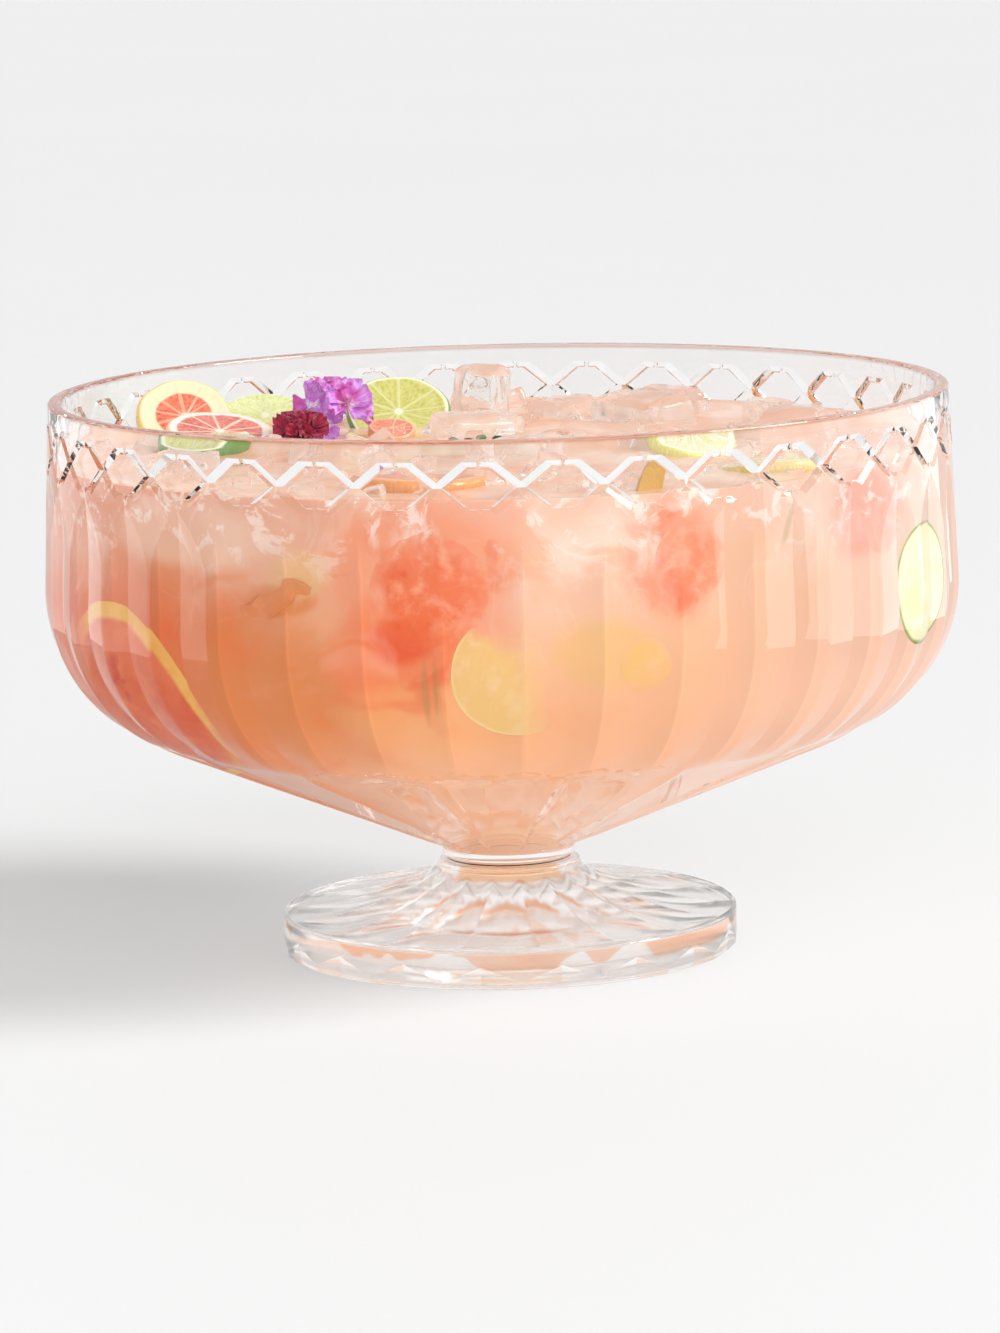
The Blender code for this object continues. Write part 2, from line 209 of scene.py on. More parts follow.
# ============================================================================ mesh helper
def make(name, verts, faces, mat, body, node=None, sharp=None, uv=None, doubles=None, extra_nodes=()):
    bm = bmesh.new()
    vs = [bm.verts.new(v) for v in verts]
    bm.verts.ensure_lookup_table()
    layer = bm.loops.layers.uv.new("UVMap") if uv is not None else None
    for f in faces:
        try:
            face = bm.faces.new([vs[i] for i in f])
        except ValueError:
            continue
        if layer is not None:
            for loop, i in zip(face.loops, f):
                loop[layer].uv = uv[i]
    if doubles:
        bmesh.ops.remove_doubles(bm, verts=bm.verts, dist=doubles)
    loose = [v for v in bm.verts if not v.link_faces]
    if loose:
        bmesh.ops.delete(bm, geom=loose, context='VERTS')
    bmesh.ops.recalc_face_normals(bm, faces=bm.faces)
    return finish_mesh(name, bm, mat, body, node, sharp, extra_nodes)


def finish_mesh(name, bm, mat, body, node=None, sharp=None, extra_nodes=()):
    me = bpy.data.meshes.new(name)
    bm.to_mesh(me)
    bm.free()
    me.shade_smooth()
    if sharp:
        me.set_sharp_from_angle(angle=math.radians(sharp))
    ob = bpy.data.objects.new(name, me)
    bpy.context.scene.collection.objects.link(ob)
    me.materials.append(mat)
    if node:
        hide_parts(node, *extra_nodes)
    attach(ob, body)
    return ob


# ============================================================================ profiles
def arc_points(cx, cz, rho, steps):
    pts = []
    for i in range(steps + 1):
        a = (math.pi / 2 - ALPHA) * i / steps
        pts.append((cx + rho * math.cos(a), cz - rho * math.sin(a)))
    return pts


class Path:
    """Polyline in (r, z) with length, used as a smooth turned surface. left=+1 puts the normal to its left."""

    def __init__(self, pts, side):
        self.p = pts
        self.s = [0.0]
        self.side = side
        for a, b in zip(pts[:-1], pts[1:]):
            self.s.append(self.s[-1] + math.hypot(b[0] - a[0], b[1] - a[1]))
        self.tan = []
        for i in range(len(pts)):
            a, b = pts[max(i - 1, 0)], pts[min(i + 1, len(pts) - 1)]
            d = math.hypot(b[0] - a[0], b[1] - a[1])
            self.tan.append(((b[0] - a[0]) / d, (b[1] - a[1]) / d))

    def at(self, s):
        s = min(max(s, 0.0), self.s[-1])
        lo, hi = 0, len(self.s) - 1
        while hi - lo > 1:
            m = (lo + hi) // 2
            if self.s[m] <= s:
                lo = m
            else:
                hi = m
        t = (s - self.s[lo]) / max(self.s[hi] - self.s[lo], 1e-12)
        r = self.p[lo][0] + (self.p[hi][0] - self.p[lo][0]) * t
        z = self.p[lo][1] + (self.p[hi][1] - self.p[lo][1]) * t
        tr = self.tan[lo][0] + (self.tan[hi][0] - self.tan[lo][0]) * t
        tz = self.tan[lo][1] + (self.tan[hi][1] - self.tan[lo][1]) * t
        d = math.hypot(tr, tz)
        tr, tz = tr / d, tz / d
        return r, z, -tz * self.side, tr * self.side

    def at_z(self, z):
        for i in range(len(self.p) - 1):
            if self.p[i][1] >= z >= self.p[i + 1][1]:
                dz = self.p[i][1] - self.p[i + 1][1]
                t = (self.p[i][1] - z) / dz if dz > 1e-12 else 0.0
                return self.s[i] + t * (self.s[i + 1] - self.s[i])
        return self.s[-1]


def wall_r(z):
    return RIM_R + (BELLY_R - RIM_R) * (RIM_Z - z) / (RIM_Z - BELLY_Z)


OUT_ARC = arc_points(BELLY_R - SHOULDER_R, BELLY_Z, SHOULDER_R, 80)
CONE_R0, CONE_Z0 = OUT_ARC[-1]
CONE_END_Z = CONE_Z0 - (CONE_R0 - COLLAR_R) * TA
RIM_ROUND = 0.0016

outer_pts = [(wall_r(RIM_Z - RIM_ROUND - (RIM_Z - RIM_ROUND - BELLY_Z) * i / 60.0),
              RIM_Z - RIM_ROUND - (RIM_Z - RIM_ROUND - BELLY_Z) * i / 60.0) for i in range(60)]
outer_pts += OUT_ARC
FILLET, COLLAR_ROUND = 0.0009, 0.0013
outer_pts += [(CONE_R0 + (COLLAR_R + FILLET - CONE_R0) * i / 60.0,
               CONE_Z0 - (CONE_R0 - COLLAR_R - FILLET) * TA * i / 60.0) for i in range(1, 61)]
# small fillet into the collar, its plain band and its rounded lower edge
cr, cz = outer_pts[-1]
for i in range(1, 9):
    a = math.pi / 2 * i / 8.0
    outer_pts.append((cr - FILLET * math.sin(a), cz - FILLET * 0.5 * i / 8.0 - FILLET * (1 - math.cos(a))))
zc = outer_pts[-1][1]
for i in range(1, 9):
    outer_pts.append((COLLAR_R, zc + (COLLAR_Z + COLLAR_ROUND - zc) * i / 8.0))
for i in range(1, 9):
    a = math.pi / 2 * i / 8.0
    outer_pts.append((COLLAR_R - COLLAR_ROUND * (1 - math.cos(a)), COLLAR_Z + COLLAR_ROUND * (1 - math.sin(a))))
OUTER = Path(outer_pts, 1)       # normal points out of the glass

IN_R0, IN_Z0 = CONE_R0 - CONE_WALL * SA, CONE_Z0 + CONE_WALL * CA
IN_CX = INNER_BELLY_R - INNER_SHOULDER_R
IN_CZ = IN_Z0 + (INNER_SHOULDER_R + (IN_CX - IN_R0) * SA) / CA
TIP_Z = IN_Z0 - (IN_R0 - INNER_TIP_R) * TA
TIP_BALL = INNER_TIP_R / SA
TIP_CZ = TIP_Z + TIP_BALL * CA
top_r = RIM_R - RIM_WALL
inner_pts = [(top_r + (INNER_BELLY_R - top_r) * i / 60.0, RIM_Z - RIM_ROUND + (IN_CZ - RIM_Z + RIM_ROUND) * i / 60.0)
             for i in range(60)]
inner_pts += arc_points(IN_CX, IN_CZ, INNER_SHOULDER_R, 80)
r0, z0 = inner_pts[-1]
inner_pts += [(r0 + (INNER_TIP_R - r0) * i / 60.0, z0 + (TIP_Z - z0) * i / 60.0) for i in range(1, 61)]
for i in range(1, 17):
    a = ALPHA * (1 - i / 16.0)
    inner_pts.append((max(TIP_BALL * math.sin(a), 0.0), TIP_CZ - TIP_BALL * math.cos(a)))
INNER = Path(inner_pts, 1)       # normal points away from the axis, into the glass

# ============================================================================ camera
cam_data = bpy.data.cameras.new("camera")
cam_data.lens = 154.0
cam_data.sensor_width = 36.0
cam_data.clip_start, cam_data.clip_end = 0.05, 200.0
cam = bpy.data.objects.new("camera", cam_data)
bpy.context.scene.collection.objects.link(cam)
PITCH, YAW, ROLL = 0.1556837, -0.00075119, -0.0238659
CAM_AT = Vector((0.0, -2.08372, 0.431535))
fw = Vector((math.sin(YAW) * math.cos(PITCH), math.cos(YAW) * math.cos(PITCH), -math.sin(PITCH)))
rt = fw.cross(Vector((0, 0, 1))).normalized()
up = rt.cross(fw)
rt2 = rt * math.cos(ROLL) + up * math.sin(ROLL)
up2 = -rt * math.sin(ROLL) + up * math.cos(ROLL)
cam.matrix_world = Matrix(((rt2.x, up2.x, -fw.x, CAM_AT.x), (rt2.y, up2.y, -fw.y, CAM_AT.y),
                           (rt2.z, up2.z, -fw.z, CAM_AT.z), (0, 0, 0, 1)))
bpy.context.scene.camera = cam

# ============================================================================ stage and light
scene = bpy.context.scene
scene.view_settings.view_transform = 'Standard'
scene.view_settings.look = 'None'
scene.view_settings.exposure = 0.0
scene.view_settings.gamma = 1.0
try:
    cy = scene.cycles
    cy.max_bounces = 18
    cy.diffuse_bounces = 3
    cy.glossy_bounces = 8
    cy.transmission_bounces = 16
    cy.transparent_max_bounces = 16
    cy.caustics_reflective = False
    cy.caustics_refractive = False
    cy.use_denoising = True
    cy.sample_clamp_indirect = 6.0
except Exception:
    pass

world = bpy.data.worlds.new("studio")
scene.world = world
world.use_nodes = True
wt = world.node_tree
wt.nodes.clear()
w_out = wt.nodes.new("ShaderNodeOutputWorld")
w_bg = wt.nodes.new("ShaderNodeBackground")
w_tc = wt.nodes.new("ShaderNodeTexCoord")
w_sep = wt.nodes.new("ShaderNodeSeparateXYZ")
wt.links.new(w_tc.outputs["Generated"], w_sep.inputs[0])
w_ramp = wt.nodes.new("ShaderNodeValToRGB")
w_map = wt.nodes.new("ShaderNodeMapRange")
w_map.inputs[1].default_value = -1.0
w_map.inputs[2].default_value = 1.0
wt.links.new(w_sep.outputs[2], w_map.inputs[0])
WORLD_STOPS = [(0.49, 0.88), (0.505, 0.89), (0.56, 0.93), (0.66, 0.98), (0.76, 0.60), (0.88, 0.42), (1.0, 0.38)]
e = w_ramp.color_ramp.elements
e[0].position, e[0].color = WORLD_STOPS[0][0], (WORLD_STOPS[0][1],) * 3 + (1,)
e[1].position, e[1].color = WORLD_STOPS[-1][0], (WORLD_STOPS[-1][1],) * 3 + (1,)
for wp, wv in WORLD_STOPS[1:-1]:
    w_ramp.color_ramp.elements.new(wp).color = (wv, wv, wv, 1)
wt.links.new(w_map.outputs[0], w_ramp.inputs[0])
wt.links.new(w_ramp.outputs[0], w_bg.inputs[0])
w_bg.inputs[1].default_value = 1.0
# what the glass mirrors: a dim room towards the front, brighter behind
w_lp = wt.nodes.new("ShaderNodeLightPath")
w_room = wt.nodes.new("ShaderNodeMapRange")
w_room.interpolation_type = 'SMOOTHSTEP'
for wi, wv in ((1, -0.35), (2, 0.55), (3, 0.16), (4, 0.90)):
    w_room.inputs[wi].default_value = wv
wt.links.new(w_sep.outputs[1], w_room.inputs[0])
w_bg2 = wt.nodes.new("ShaderNodeBackground")
wt.links.new(w_room.outputs[0], w_bg2.inputs[1])
w_not = wt.nodes.new("ShaderNodeMath")
w_not.operation = 'SUBTRACT'
w_not.use_clamp = True
wt.links.new(w_lp.outputs["Is Glossy Ray"], w_not.inputs[0])
wt.links.new(w_lp.outputs["Is Transmission Ray"], w_not.inputs[1])
w_mix = wt.nodes.new("ShaderNodeMixShader")
wt.links.new(w_not.outputs[0], w_mix.inputs[0])
wt.links.new(w_bg.outputs[0], w_mix.inputs[1])
wt.links.new(w_bg2.outputs[0], w_mix.inputs[2])
wt.links.new(w_mix.outputs[0], w_out.inputs[0])


def area(name, at, aim, size, power, colour=(1, 1, 1), size_y=None):
    d = bpy.data.lights.new(name, 'AREA')
    d.energy = power
    d.color = colour
    d.shape = 'RECTANGLE'
    d.size = size
    d.size_y = size_y or size
    o = bpy.data.objects.new(name, d)
    scene.collection.objects.link(o)
    o.location = at
    o.rotation_euler = (Vector(aim) - Vector(at)).to_track_quat('-Z', 'Y').to_euler()
    return o


def only_gloss(o):
    """A card of light that shows in the glass, and lights nothing else."""
    o.visible_camera = False
    o.visible_diffuse = False
    o.visible_volume_scatter = False
    return o


sun_data = bpy.data.lights.new("key_sun", 'SUN')
sun_data.energy = 1.85
sun_data.angle = math.radians(26.0)
sun = bpy.data.objects.new("key_sun", sun_data)
scene.collection.objects.link(sun)
sun_from = Vector((math.cos(math.radians(34)) * math.cos(math.radians(12)),
                   -math.cos(math.radians(34)) * math.sin(math.radians(12)), math.sin(math.radians(34))))
sun.rotation_euler = (-sun_from).to_track_quat('-Z', 'Y').to_euler()
fill_data = bpy.data.lights.new("fill_sun", 'SUN')
fill_data.energy = 0.60
fill_data.angle = math.radians(60.0)
fill = bpy.data.objects.new("fill_sun", fill_data)
scene.collection.objects.link(fill)
fill_from = Vector((0.35, -0.85, 0.42)).normalized()
fill.rotation_euler = (-fill_from).to_track_quat('-Z', 'Y').to_euler()


def card(name, x, y, width, low, high, radiance):
    """Upright panel beside the bowl, facing the axis along X."""
    h = high - low
    at = Vector((x, y, (low + high) / 2))
    c = only_gloss(area(name, at, at - Vector((x, 0, 0)), width, radiance * math.pi * width * h, size_y=h))
    c.visible_transmission = False
    return c


card("card_right", 0.47, 0.06, 0.70, 0.004, 0.50, 1.55)
card("card_left", -0.47, 0.20, 0.62, 0.004, 0.50, 0.80)
top_front = area("top_front", (0.25, -1.0, 1.6), (0.1, -0.6, 0.0), 1.3, 2.2)
top_front.visible_camera = False
only_gloss(area("card_top", (0.0, 0.3, 2.1), (0.0, 0.3, 0.0), 4.2, 24.0))

gf = G("pale_floor")
fl_c = gf.coords("Object")
fl_n = gf.noise(fl_c, 1.3, 2.0)
gf.done(gf.principled(Base_Color=gf.mix(fl_n, (0.920, 0.920, 0.920), (0.935, 0.935, 0.935)), Roughness=0.6,
                      Specular_IOR_Level=0.15))
bm = bmesh.new()
bmesh.ops.create_circle(bm, cap_ends=True, segments=96, radius=26.0)
fme = bpy.data.meshes.new("floor")
bm.to_mesh(fme)
bm.free()
floor = bpy.data.objects.new("floor", fme)
floor.location = (0, 0, -0.0003)
scene.collection.objects.link(floor)
fme.materials.append(gf.mat)


# ============================================================================ glass
def glass_material(name, tint, ior, shade, glow=0.0, band=None, ground=0.0, painted_drink_refraction=False):
    g = G(name)
    o = g.coords("Object")
    if band:
        # painted shade: a deeper tint on a band of height, for the darker line the glass shows where it is seen edge on
        bx, by, height = g.xyz(o)
        edge = g.range(height, band[0], band[1])
        if painted_drink_refraction:
            # on the foot the band is a painted refraction of the drink seen through the neck, kept mostly to the front
            # and back, with a ragged lower edge
            ragged = g.math('ADD', height, g.math('MULTIPLY', g.math('SUBTRACT', g.noise(o, 150.0, 2.0, 0.5), 0.5), 0.0030))
            edge = g.range(ragged, band[0], band[1])
            across = g.math('SUBTRACT', g.math('MULTIPLY', by, by), g.math('MULTIPLY', bx, bx))
            edge = g.math('MULTIPLY', edge, g.range(across, -0.00006, 0.00012))
        tint = g.mix(edge, tint, band[2])
    if painted_drink_refraction:
        # painted refraction: facets that show the drink's colour, long ones on the flutes, short ones along the edge
        x, y, z = g.xyz(o)
        rad = g.math('SQRT', g.math('ADD', g.math('MULTIPLY', x, x), g.math('MULTIPLY', y, y)))
        rad = g.math('MAXIMUM', rad, 0.001)
        dx, dy = g.math('DIVIDE', x, rad), g.math('DIVIDE', y, rad)
        painted_refraction_streak = g.noise(g.vec(g.math('MULTIPLY', dx, 7.5), g.math('MULTIPLY', dy, 7.5), g.math('MULTIPLY', rad, 34.0)), 1.0, 1.0, 0.4)
        painted_refraction_streak = g.math('MULTIPLY', g.range(painted_refraction_streak, 0.585, 0.640), g.range(rad, 0.038, 0.044))
        painted_refraction_streak = g.math('MULTIPLY', painted_refraction_streak, g.math('MULTIPLY', g.range(rad, 0.0810, 0.0790), g.range(z, 0.006, 0.008)))
        tint = g.mix(g.math('MULTIPLY', painted_refraction_streak, 0.75), tint, (0.98, 0.54, 0.34, 1))
        rim = g.noise(g.vec(g.math('MULTIPLY', dx, 3.4), g.math('MULTIPLY', dy, 3.4), 0.4), 1.0, 2.0, 0.5)
        floor = g.range(rim, 0.40, 0.60, 0.0136, 0.0070)
        rim = g.math('MULTIPLY', g.range(g.math('SUBTRACT', z, floor), 0.0, 0.0009), g.range(rad, 0.0815, 0.0828))
        rim = g.math('MULTIPLY', rim, g.range(z, 0.0138, 0.0129))
        tint = g.mix(rim, tint, (0.97, 0.46, 0.26, 1))
    # very slight waviness of pressed glass, and a trace of water marks in its gloss
    wav = g.noise(o, 38.0, 2.0, 0.4)
    marks = g.noise(o, 90.0, 4.0, 0.6)
    rough = g.range(marks, 0.45, 0.80, 0.0, 0.035)
    if ground:
        # the underside is left as ground
        _, _, low = g.xyz(o)
        rough = g.math('MAXIMUM', rough, g.range(low, 0.0036, 0.0026, 0.0, ground))
    # painted light: glow gives the glass a faint emission of its own (set on the foot)
    p = g.principled(Base_Color=tint, Roughness=rough, IOR=ior, Transmission_Weight=1.0,
                     Emission_Color=(1.0, 0.96, 0.94, 1), Emission_Strength=glow, Normal=g.bump(wav, 0.05, 0.0006))
    lp = g.node("ShaderNodeLightPath")
    for ray in ("Is Shadow Ray", "Is Diffuse Ray"):
        tr = g.node("ShaderNodeBsdfTransparent")
        tr.inputs[0].default_value = shade
        mx = g.node("ShaderNodeMixShader")
        g.t.links.new(lp.outputs[ray], mx.inputs[0])
        g.t.links.new(p, mx.inputs[1])
        g.t.links.new(tr.outputs[0], mx.inputs[2])
        p = mx.outputs[0]
    return g.done(p)


m_glass = glass_material("clear_glass_fine", (0.985, 0.99, 0.99, 1), 1.54, (0.97, 0.97, 0.97, 1),
                         band=(0.2058, 0.2070, (0.70, 0.46, 0.40, 1)))
m_foot_glass = glass_material("foot_glass_fine", (1.0, 0.974, 0.956, 1), 1.50, (0.95, 0.95, 0.95, 1), 0.012,
                              band=(0.0283, 0.0292, (0.94, 0.44, 0.20, 1)), ground=0.12, painted_drink_refraction=True)


def build_bowl():
    verts, faces = [], []

    def add(v):
        verts.append(v)
        return len(verts) - 1

    PITCH_DEG = 360.0 / FLUTES
    HALF = PITCH_DEG / 2
    MM = 14.45                       # half a pitch along the wall, in mm

    def on_wall(theta, z, depth):
        return polar(theta, wall_r(z) - depth, z)

    # ---- diamond band, one pitch of it, as a constrained triangulation in (x mm, z mm)
    ZT, ZP, ZJ, ZB = 202.6, 199.5, 191.5, 181.4
    XT, H1, H2, SKEW = 4.6, 1.10, 1.72, 0.80
    D1, D2 = 1.00, 1.65
    beta = math.atan2(ZP - ZJ, MM - XT)
    pts, depth, edges = [], [], []

    def pt(x, z, d=0.0):
        for i, q in enumerate(pts):
            if abs(q[0] - x) < 1e-5 and abs(q[1] - z) < 1e-5:
                return i
        pts.append((x, z))
        depth.append(d)
        return len(pts) - 1

    def chain(ids):
        for a, b in zip(ids[:-1], ids[1:]):
            if a != b and (a, b) not in edges and (b, a) not in edges:
                edges.append((a, b))

    # offset lines of the sloping arm: through (XT,ZP) and (MM,ZJ)
    dx, dz = math.cos(beta), -math.sin(beta)
    nx, nz = math.sin(beta), math.cos(beta)     # up and out

    def arm_at_z(z, off):
        # x on the sloping line moved by off along the normal
        x0, zz0 = XT + nx * off, ZP + nz * off
        return x0 + (z - zz0) / dz * dx

    for sx in (1, -1):
        for flip in (1, -1):
            def P(x, z, d=0.0):
                return pt(sx * x, ZJ + flip * (z - ZJ), d)
            # the deepest line lies towards the diamond
            O1, O2 = -H1 * (2 * SKEW - 1), -H2 * (2 * SKEW - 1)
            e0 = P(0.25, ZP + O1 * 0.5)
            us, ls, c0 = P(0.80, ZP + H1), P(0.80, ZP - H1), P(1.00, ZP + O1, D1)
            u1x, l1x, c1x = arm_at_z(ZP + H1, H2), arm_at_z(ZP - H1, -H2), arm_at_z(ZP + O1, O2)
            u2 = (MM, ZJ + H2 / math.cos(beta))
            l2 = (MM - H2 / math.sin(beta), ZJ)
            c2 = (MM + O2 / math.sin(beta), ZJ)
            j2 = (MM, ZJ)
            n = 4

            def line(a, b, da, db, n=n):
                ids = []
                for i in range(n + 1):
                    t = i / n
                    ids.append(P(a[0] + (b[0] - a[0]) * t, a[1] + (b[1] - a[1]) * t, da + (db - da) * t))
                return ids
            up_a = line((0.80, ZP + H1), (u1x, ZP + H1), 0, 0)
            up_b = line((u1x, ZP + H1), u2, 0, 0)
            lo_a = line((0.80, ZP - H1), (l1x, ZP - H1), 0, 0)
            lo_b = line((l1x, ZP - H1), l2, 0, 0)
            ce_a = line((1.00, ZP + O1), (c1x, ZP + O1), D1, D1 * 1.10)
            ce_b = line((c1x, ZP + O1), c2, D1 * 1.10, D2)
            jj = line(c2, j2, D2, D2 * 0.80, 1)
            for ids in (up_a, up_b, lo_a, lo_b, ce_a, ce_b, jj):
                chain(ids)
            chain([e0, us])
            chain([e0, ls])
            chain([e0, c0])
    # plain points between the cuts
    top_cols = [-MM + 2 * MM * i / 8 for i in range(9)]
    TB0 = 0.05
    fac = [0.0, 0.25, 0.5, 0.75, 1.0]

    def cols(tb):
        right = [f * tb for f in fac] + [tb + (1 - tb) * k / 3.0 for k in (1, 2, 3)]
        return [-c for c in reversed(right[1:])] + right

    bot_cols = [c * MM for c in cols(TB0)]
    top_ids = [pt(x, ZT) for x in top_cols]
    chain(top_ids)
    bot_ids = [pt(x, ZB) for x in bot_cols]
    chain(bot_ids)
    side_z = sorted(set([round(q[1], 6) for q in pts if abs(abs(q[0]) - MM) < 1e-5] +
                        [200.6, 198.2, 196.0, 187.0, 185.0, 183.0]), reverse=True)
    for sx in (1, -1):
        chain([pt(sx * MM, z) for z in side_z])
    segs = [(pts[a], pts[b]) for a, b in edges]

    def far(x, z, lim):
        for (ax, az), (bx, bz) in segs:
            vx, vz = bx - ax, bz - az
            L = vx * vx + vz * vz
            t = max(0.0, min(1.0, ((x - ax) * vx + (z - az) * vz) / L)) if L > 0 else 0.0
            if math.hypot(x - ax - t * vx, z - az - t * vz) < lim:
                return False
        return True
    def outside(x, z):
        # not on a cut: above its outer line, or inside the diamond
        az = ZJ + abs(z - ZJ)
        ax = abs(x)
        off_top = az - ZP
        off_arm = (ax - XT) * nx + (az - ZP) * nz
        inner = (off_top < -H1 - 0.3) and (off_arm < -H2 - 0.3)
        outer = (off_top > H1 + 0.3) or (off_arm > H2 + 0.3)
        return inner or outer
    gx, gz = 17, 12
    for j in range(1, gz):
        z = ZB + (ZT - ZB) * j / gz
        for i in range(gx):
            x = -MM + 2 * MM * (i + (0.5 if j % 2 else 0.25)) / gx
            if far(x, z, 0.70) and outside(x, z):
                pt(x, z)
    v2, e2, f2, ov, oe, of = delaunay_2d_cdt([Vector(q) for q in pts], edges, [], 0, 1e-6, True)
    dep2 = [max([depth[k] for k in o], default=0.0) if o else 0.0 for o in ov]
    for k in range(FLUTES):
        mid = FLUTE_SHIFT + PITCH_DEG * k
        base = len(verts)
        for v, d in zip(v2, dep2):
            add(on_wall(mid + v[0] / MM * HALF, v[1] / 1000.0, d / 1000.0))
        for f in f2:
            faces.append([base + i for i in f])
    # ---- plain strip under the rim
    z_top = RIM_Z - RIM_ROUND
    rows = [z_top, 0.2040, ZT / 1000.0]
    n_top = 8 * FLUTES

    def ring(fn, n):
        return [add(fn(i)) for i in range(n)]

    def bridge(a, b):
        n = len(a)
        for i in range(n):
            j = (i + 1) % n
            faces.append([a[i], b[i], b[j], a[j]])

    th_top = [FLUTE_SHIFT - HALF + PITCH_DEG * k / 8.0 for k in range(n_top)]
    rings = [ring(lambda i, z=z: on_wall(th_top[i], z, 0.0), n_top) for z in rows]
    for a, b in zip(rings[:-1], rings[1:]):
        bridge(a, b)
    # ---- rounded rim and smooth inside
    prev = rings[0]
    rc_o, rc_i = wall_r(z_top), inner_pts[0][0]
    for i in range(1, 13):
        a = math.pi * i / 12.0
        ca, sa = math.cos(a), math.sin(a)
        r = (rc_o + rc_i) / 2 + (rc_o - rc_i) / 2 * math.copysign(abs(ca) ** 0.72, ca)
        z = z_top + RIM_ROUND * abs(sa) ** 0.72
        cur = ring(lambda k, r=r, z=z: polar(th_top[k], r, z), n_top)
        bridge(cur, prev)
        prev = cur
    sa0, sa1, sa2 = INNER.at_z(IN_CZ), INNER.at_z(IN_CZ - INNER_SHOULDER_R * CA), INNER.at_z(TIP_Z)
    in_rows = [sa0 * i / 6.0 for i in range(1, 7)] + [sa0 + (sa1 - sa0) * i / 36.0 for i in range(1, 37)]
    in_rows += [sa1 + (sa2 - sa1) * i / 9.0 for i in range(1, 10)] + [sa2 + (INNER.s[-1] - sa2) * i / 12.0 for i in range(1, 12)]
    for s in in_rows:
        r, z, nr, nz = INNER.at(s)
        cur = ring(lambda k, r=r, z=z: polar(th_top[k], r, z), n_top)
        bridge(cur, prev)
        prev = cur
    tip = add(Vector((0, 0, INNER.p[-1][1])))
    for i in range(n_top):
        faces.append([prev[i], prev[(i + 1) % n_top], tip])
    # ---- flutes, shoulder, petals, collar
    Z_FULL, TB_MAX, D_FLUTE = 0.1570, 0.95, 0.0019
    s_b = OUTER.at_z(ZB / 1000.0)
    s_full = OUTER.at_z(Z_FULL)
    s_bel = OUTER.at_z(BELLY_Z)
    s_arc = OUTER.at_z(CONE_Z0)
    s_cone = OUTER.at_z(CONE_END_Z)
    s_end = OUTER.s[-1]
    srows = [s_b + (s_full - s_b) * i / 20.0 for i in range(21)]
    srows += [s_full + (s_bel - s_full) * i / 4.0 for i in range(1, 5)]
    srows += [s_bel + (s_arc - s_bel) * i / 28.0 for i in range(1, 29)]
    srows += [s_arc + (s_cone - s_arc) * i / 20.0 for i in range(1, 21)]
    srows += [s_cone + (s_end - s_cone) * i / 24.0 for i in range(1, 25)]
    grid = []
    for s in srows:
        r, z, nr, nz = OUTER.at(s)
        if s <= s_full:
            q = (s_full - s) / (s_full - s_b)
            tb = max(TB_MAX * (1 - q ** 1.8), TB0)
        else:
            tb = TB_MAX
        fade = 1.0 - smooth(s_arc - 0.013, s_arc + 0.002, s)
        petal = smooth(s_arc - 0.008, s_arc + 0.012, s) * (1.0 - smooth(s_cone - 0.012, s_cone - 0.001, s))
        petal *= 0.35 + 0.65 * smooth(0.03, 0.13, r)
        row = []
        for k in range(FLUTES):
            mid = FLUTE_SHIFT + PITCH_DEG * k
            cl = cols(tb)
            if k > 0:
                cl = cl[1:]
            if k == FLUTES - 1:
                cl = cl[:-1]
            for c in cl:
                d = 0.0
                if abs(c) < tb:
                    d = D_FLUTE * (tb / TB_MAX) * (1 - abs(c) / tb) * fade
                th = mid + c * HALF
                if petal > 0:
                    ph = (th - FLUTE_SHIFT) / 20.0
                    ph = abs(ph - round(ph)) * 2.0       # 0 in the middle of a petal, 1 on its ridge
                    d += 0.00075 * petal * (1.0 - ph * ph) - 0.0010 * petal * smooth(0.83, 0.98, ph)
                row.append(add(polar(th, r - nr * d, z - nz * d)))
        grid.append(row)
    for a, b in zip(grid[:-1], grid[1:]):
        bridge(a, b)
    # underside of the collar
    last = grid[-1]
    inner_ring = [add(Vector((verts[i].x * 0.90, verts[i].y * 0.90, COLLAR_Z))) for i in last]
    bridge(last, inner_ring)
    c = add(Vector((0, 0, COLLAR_Z)))
    for i in range(len(inner_ring)):
        faces.append([inner_ring[i], c, inner_ring[(i + 1) % len(inner_ring)]])
    return make("bowl_glass", verts, faces, m_glass, "bowl", "bowl", sharp=3.6, doubles=2e-6)


build_bowl()


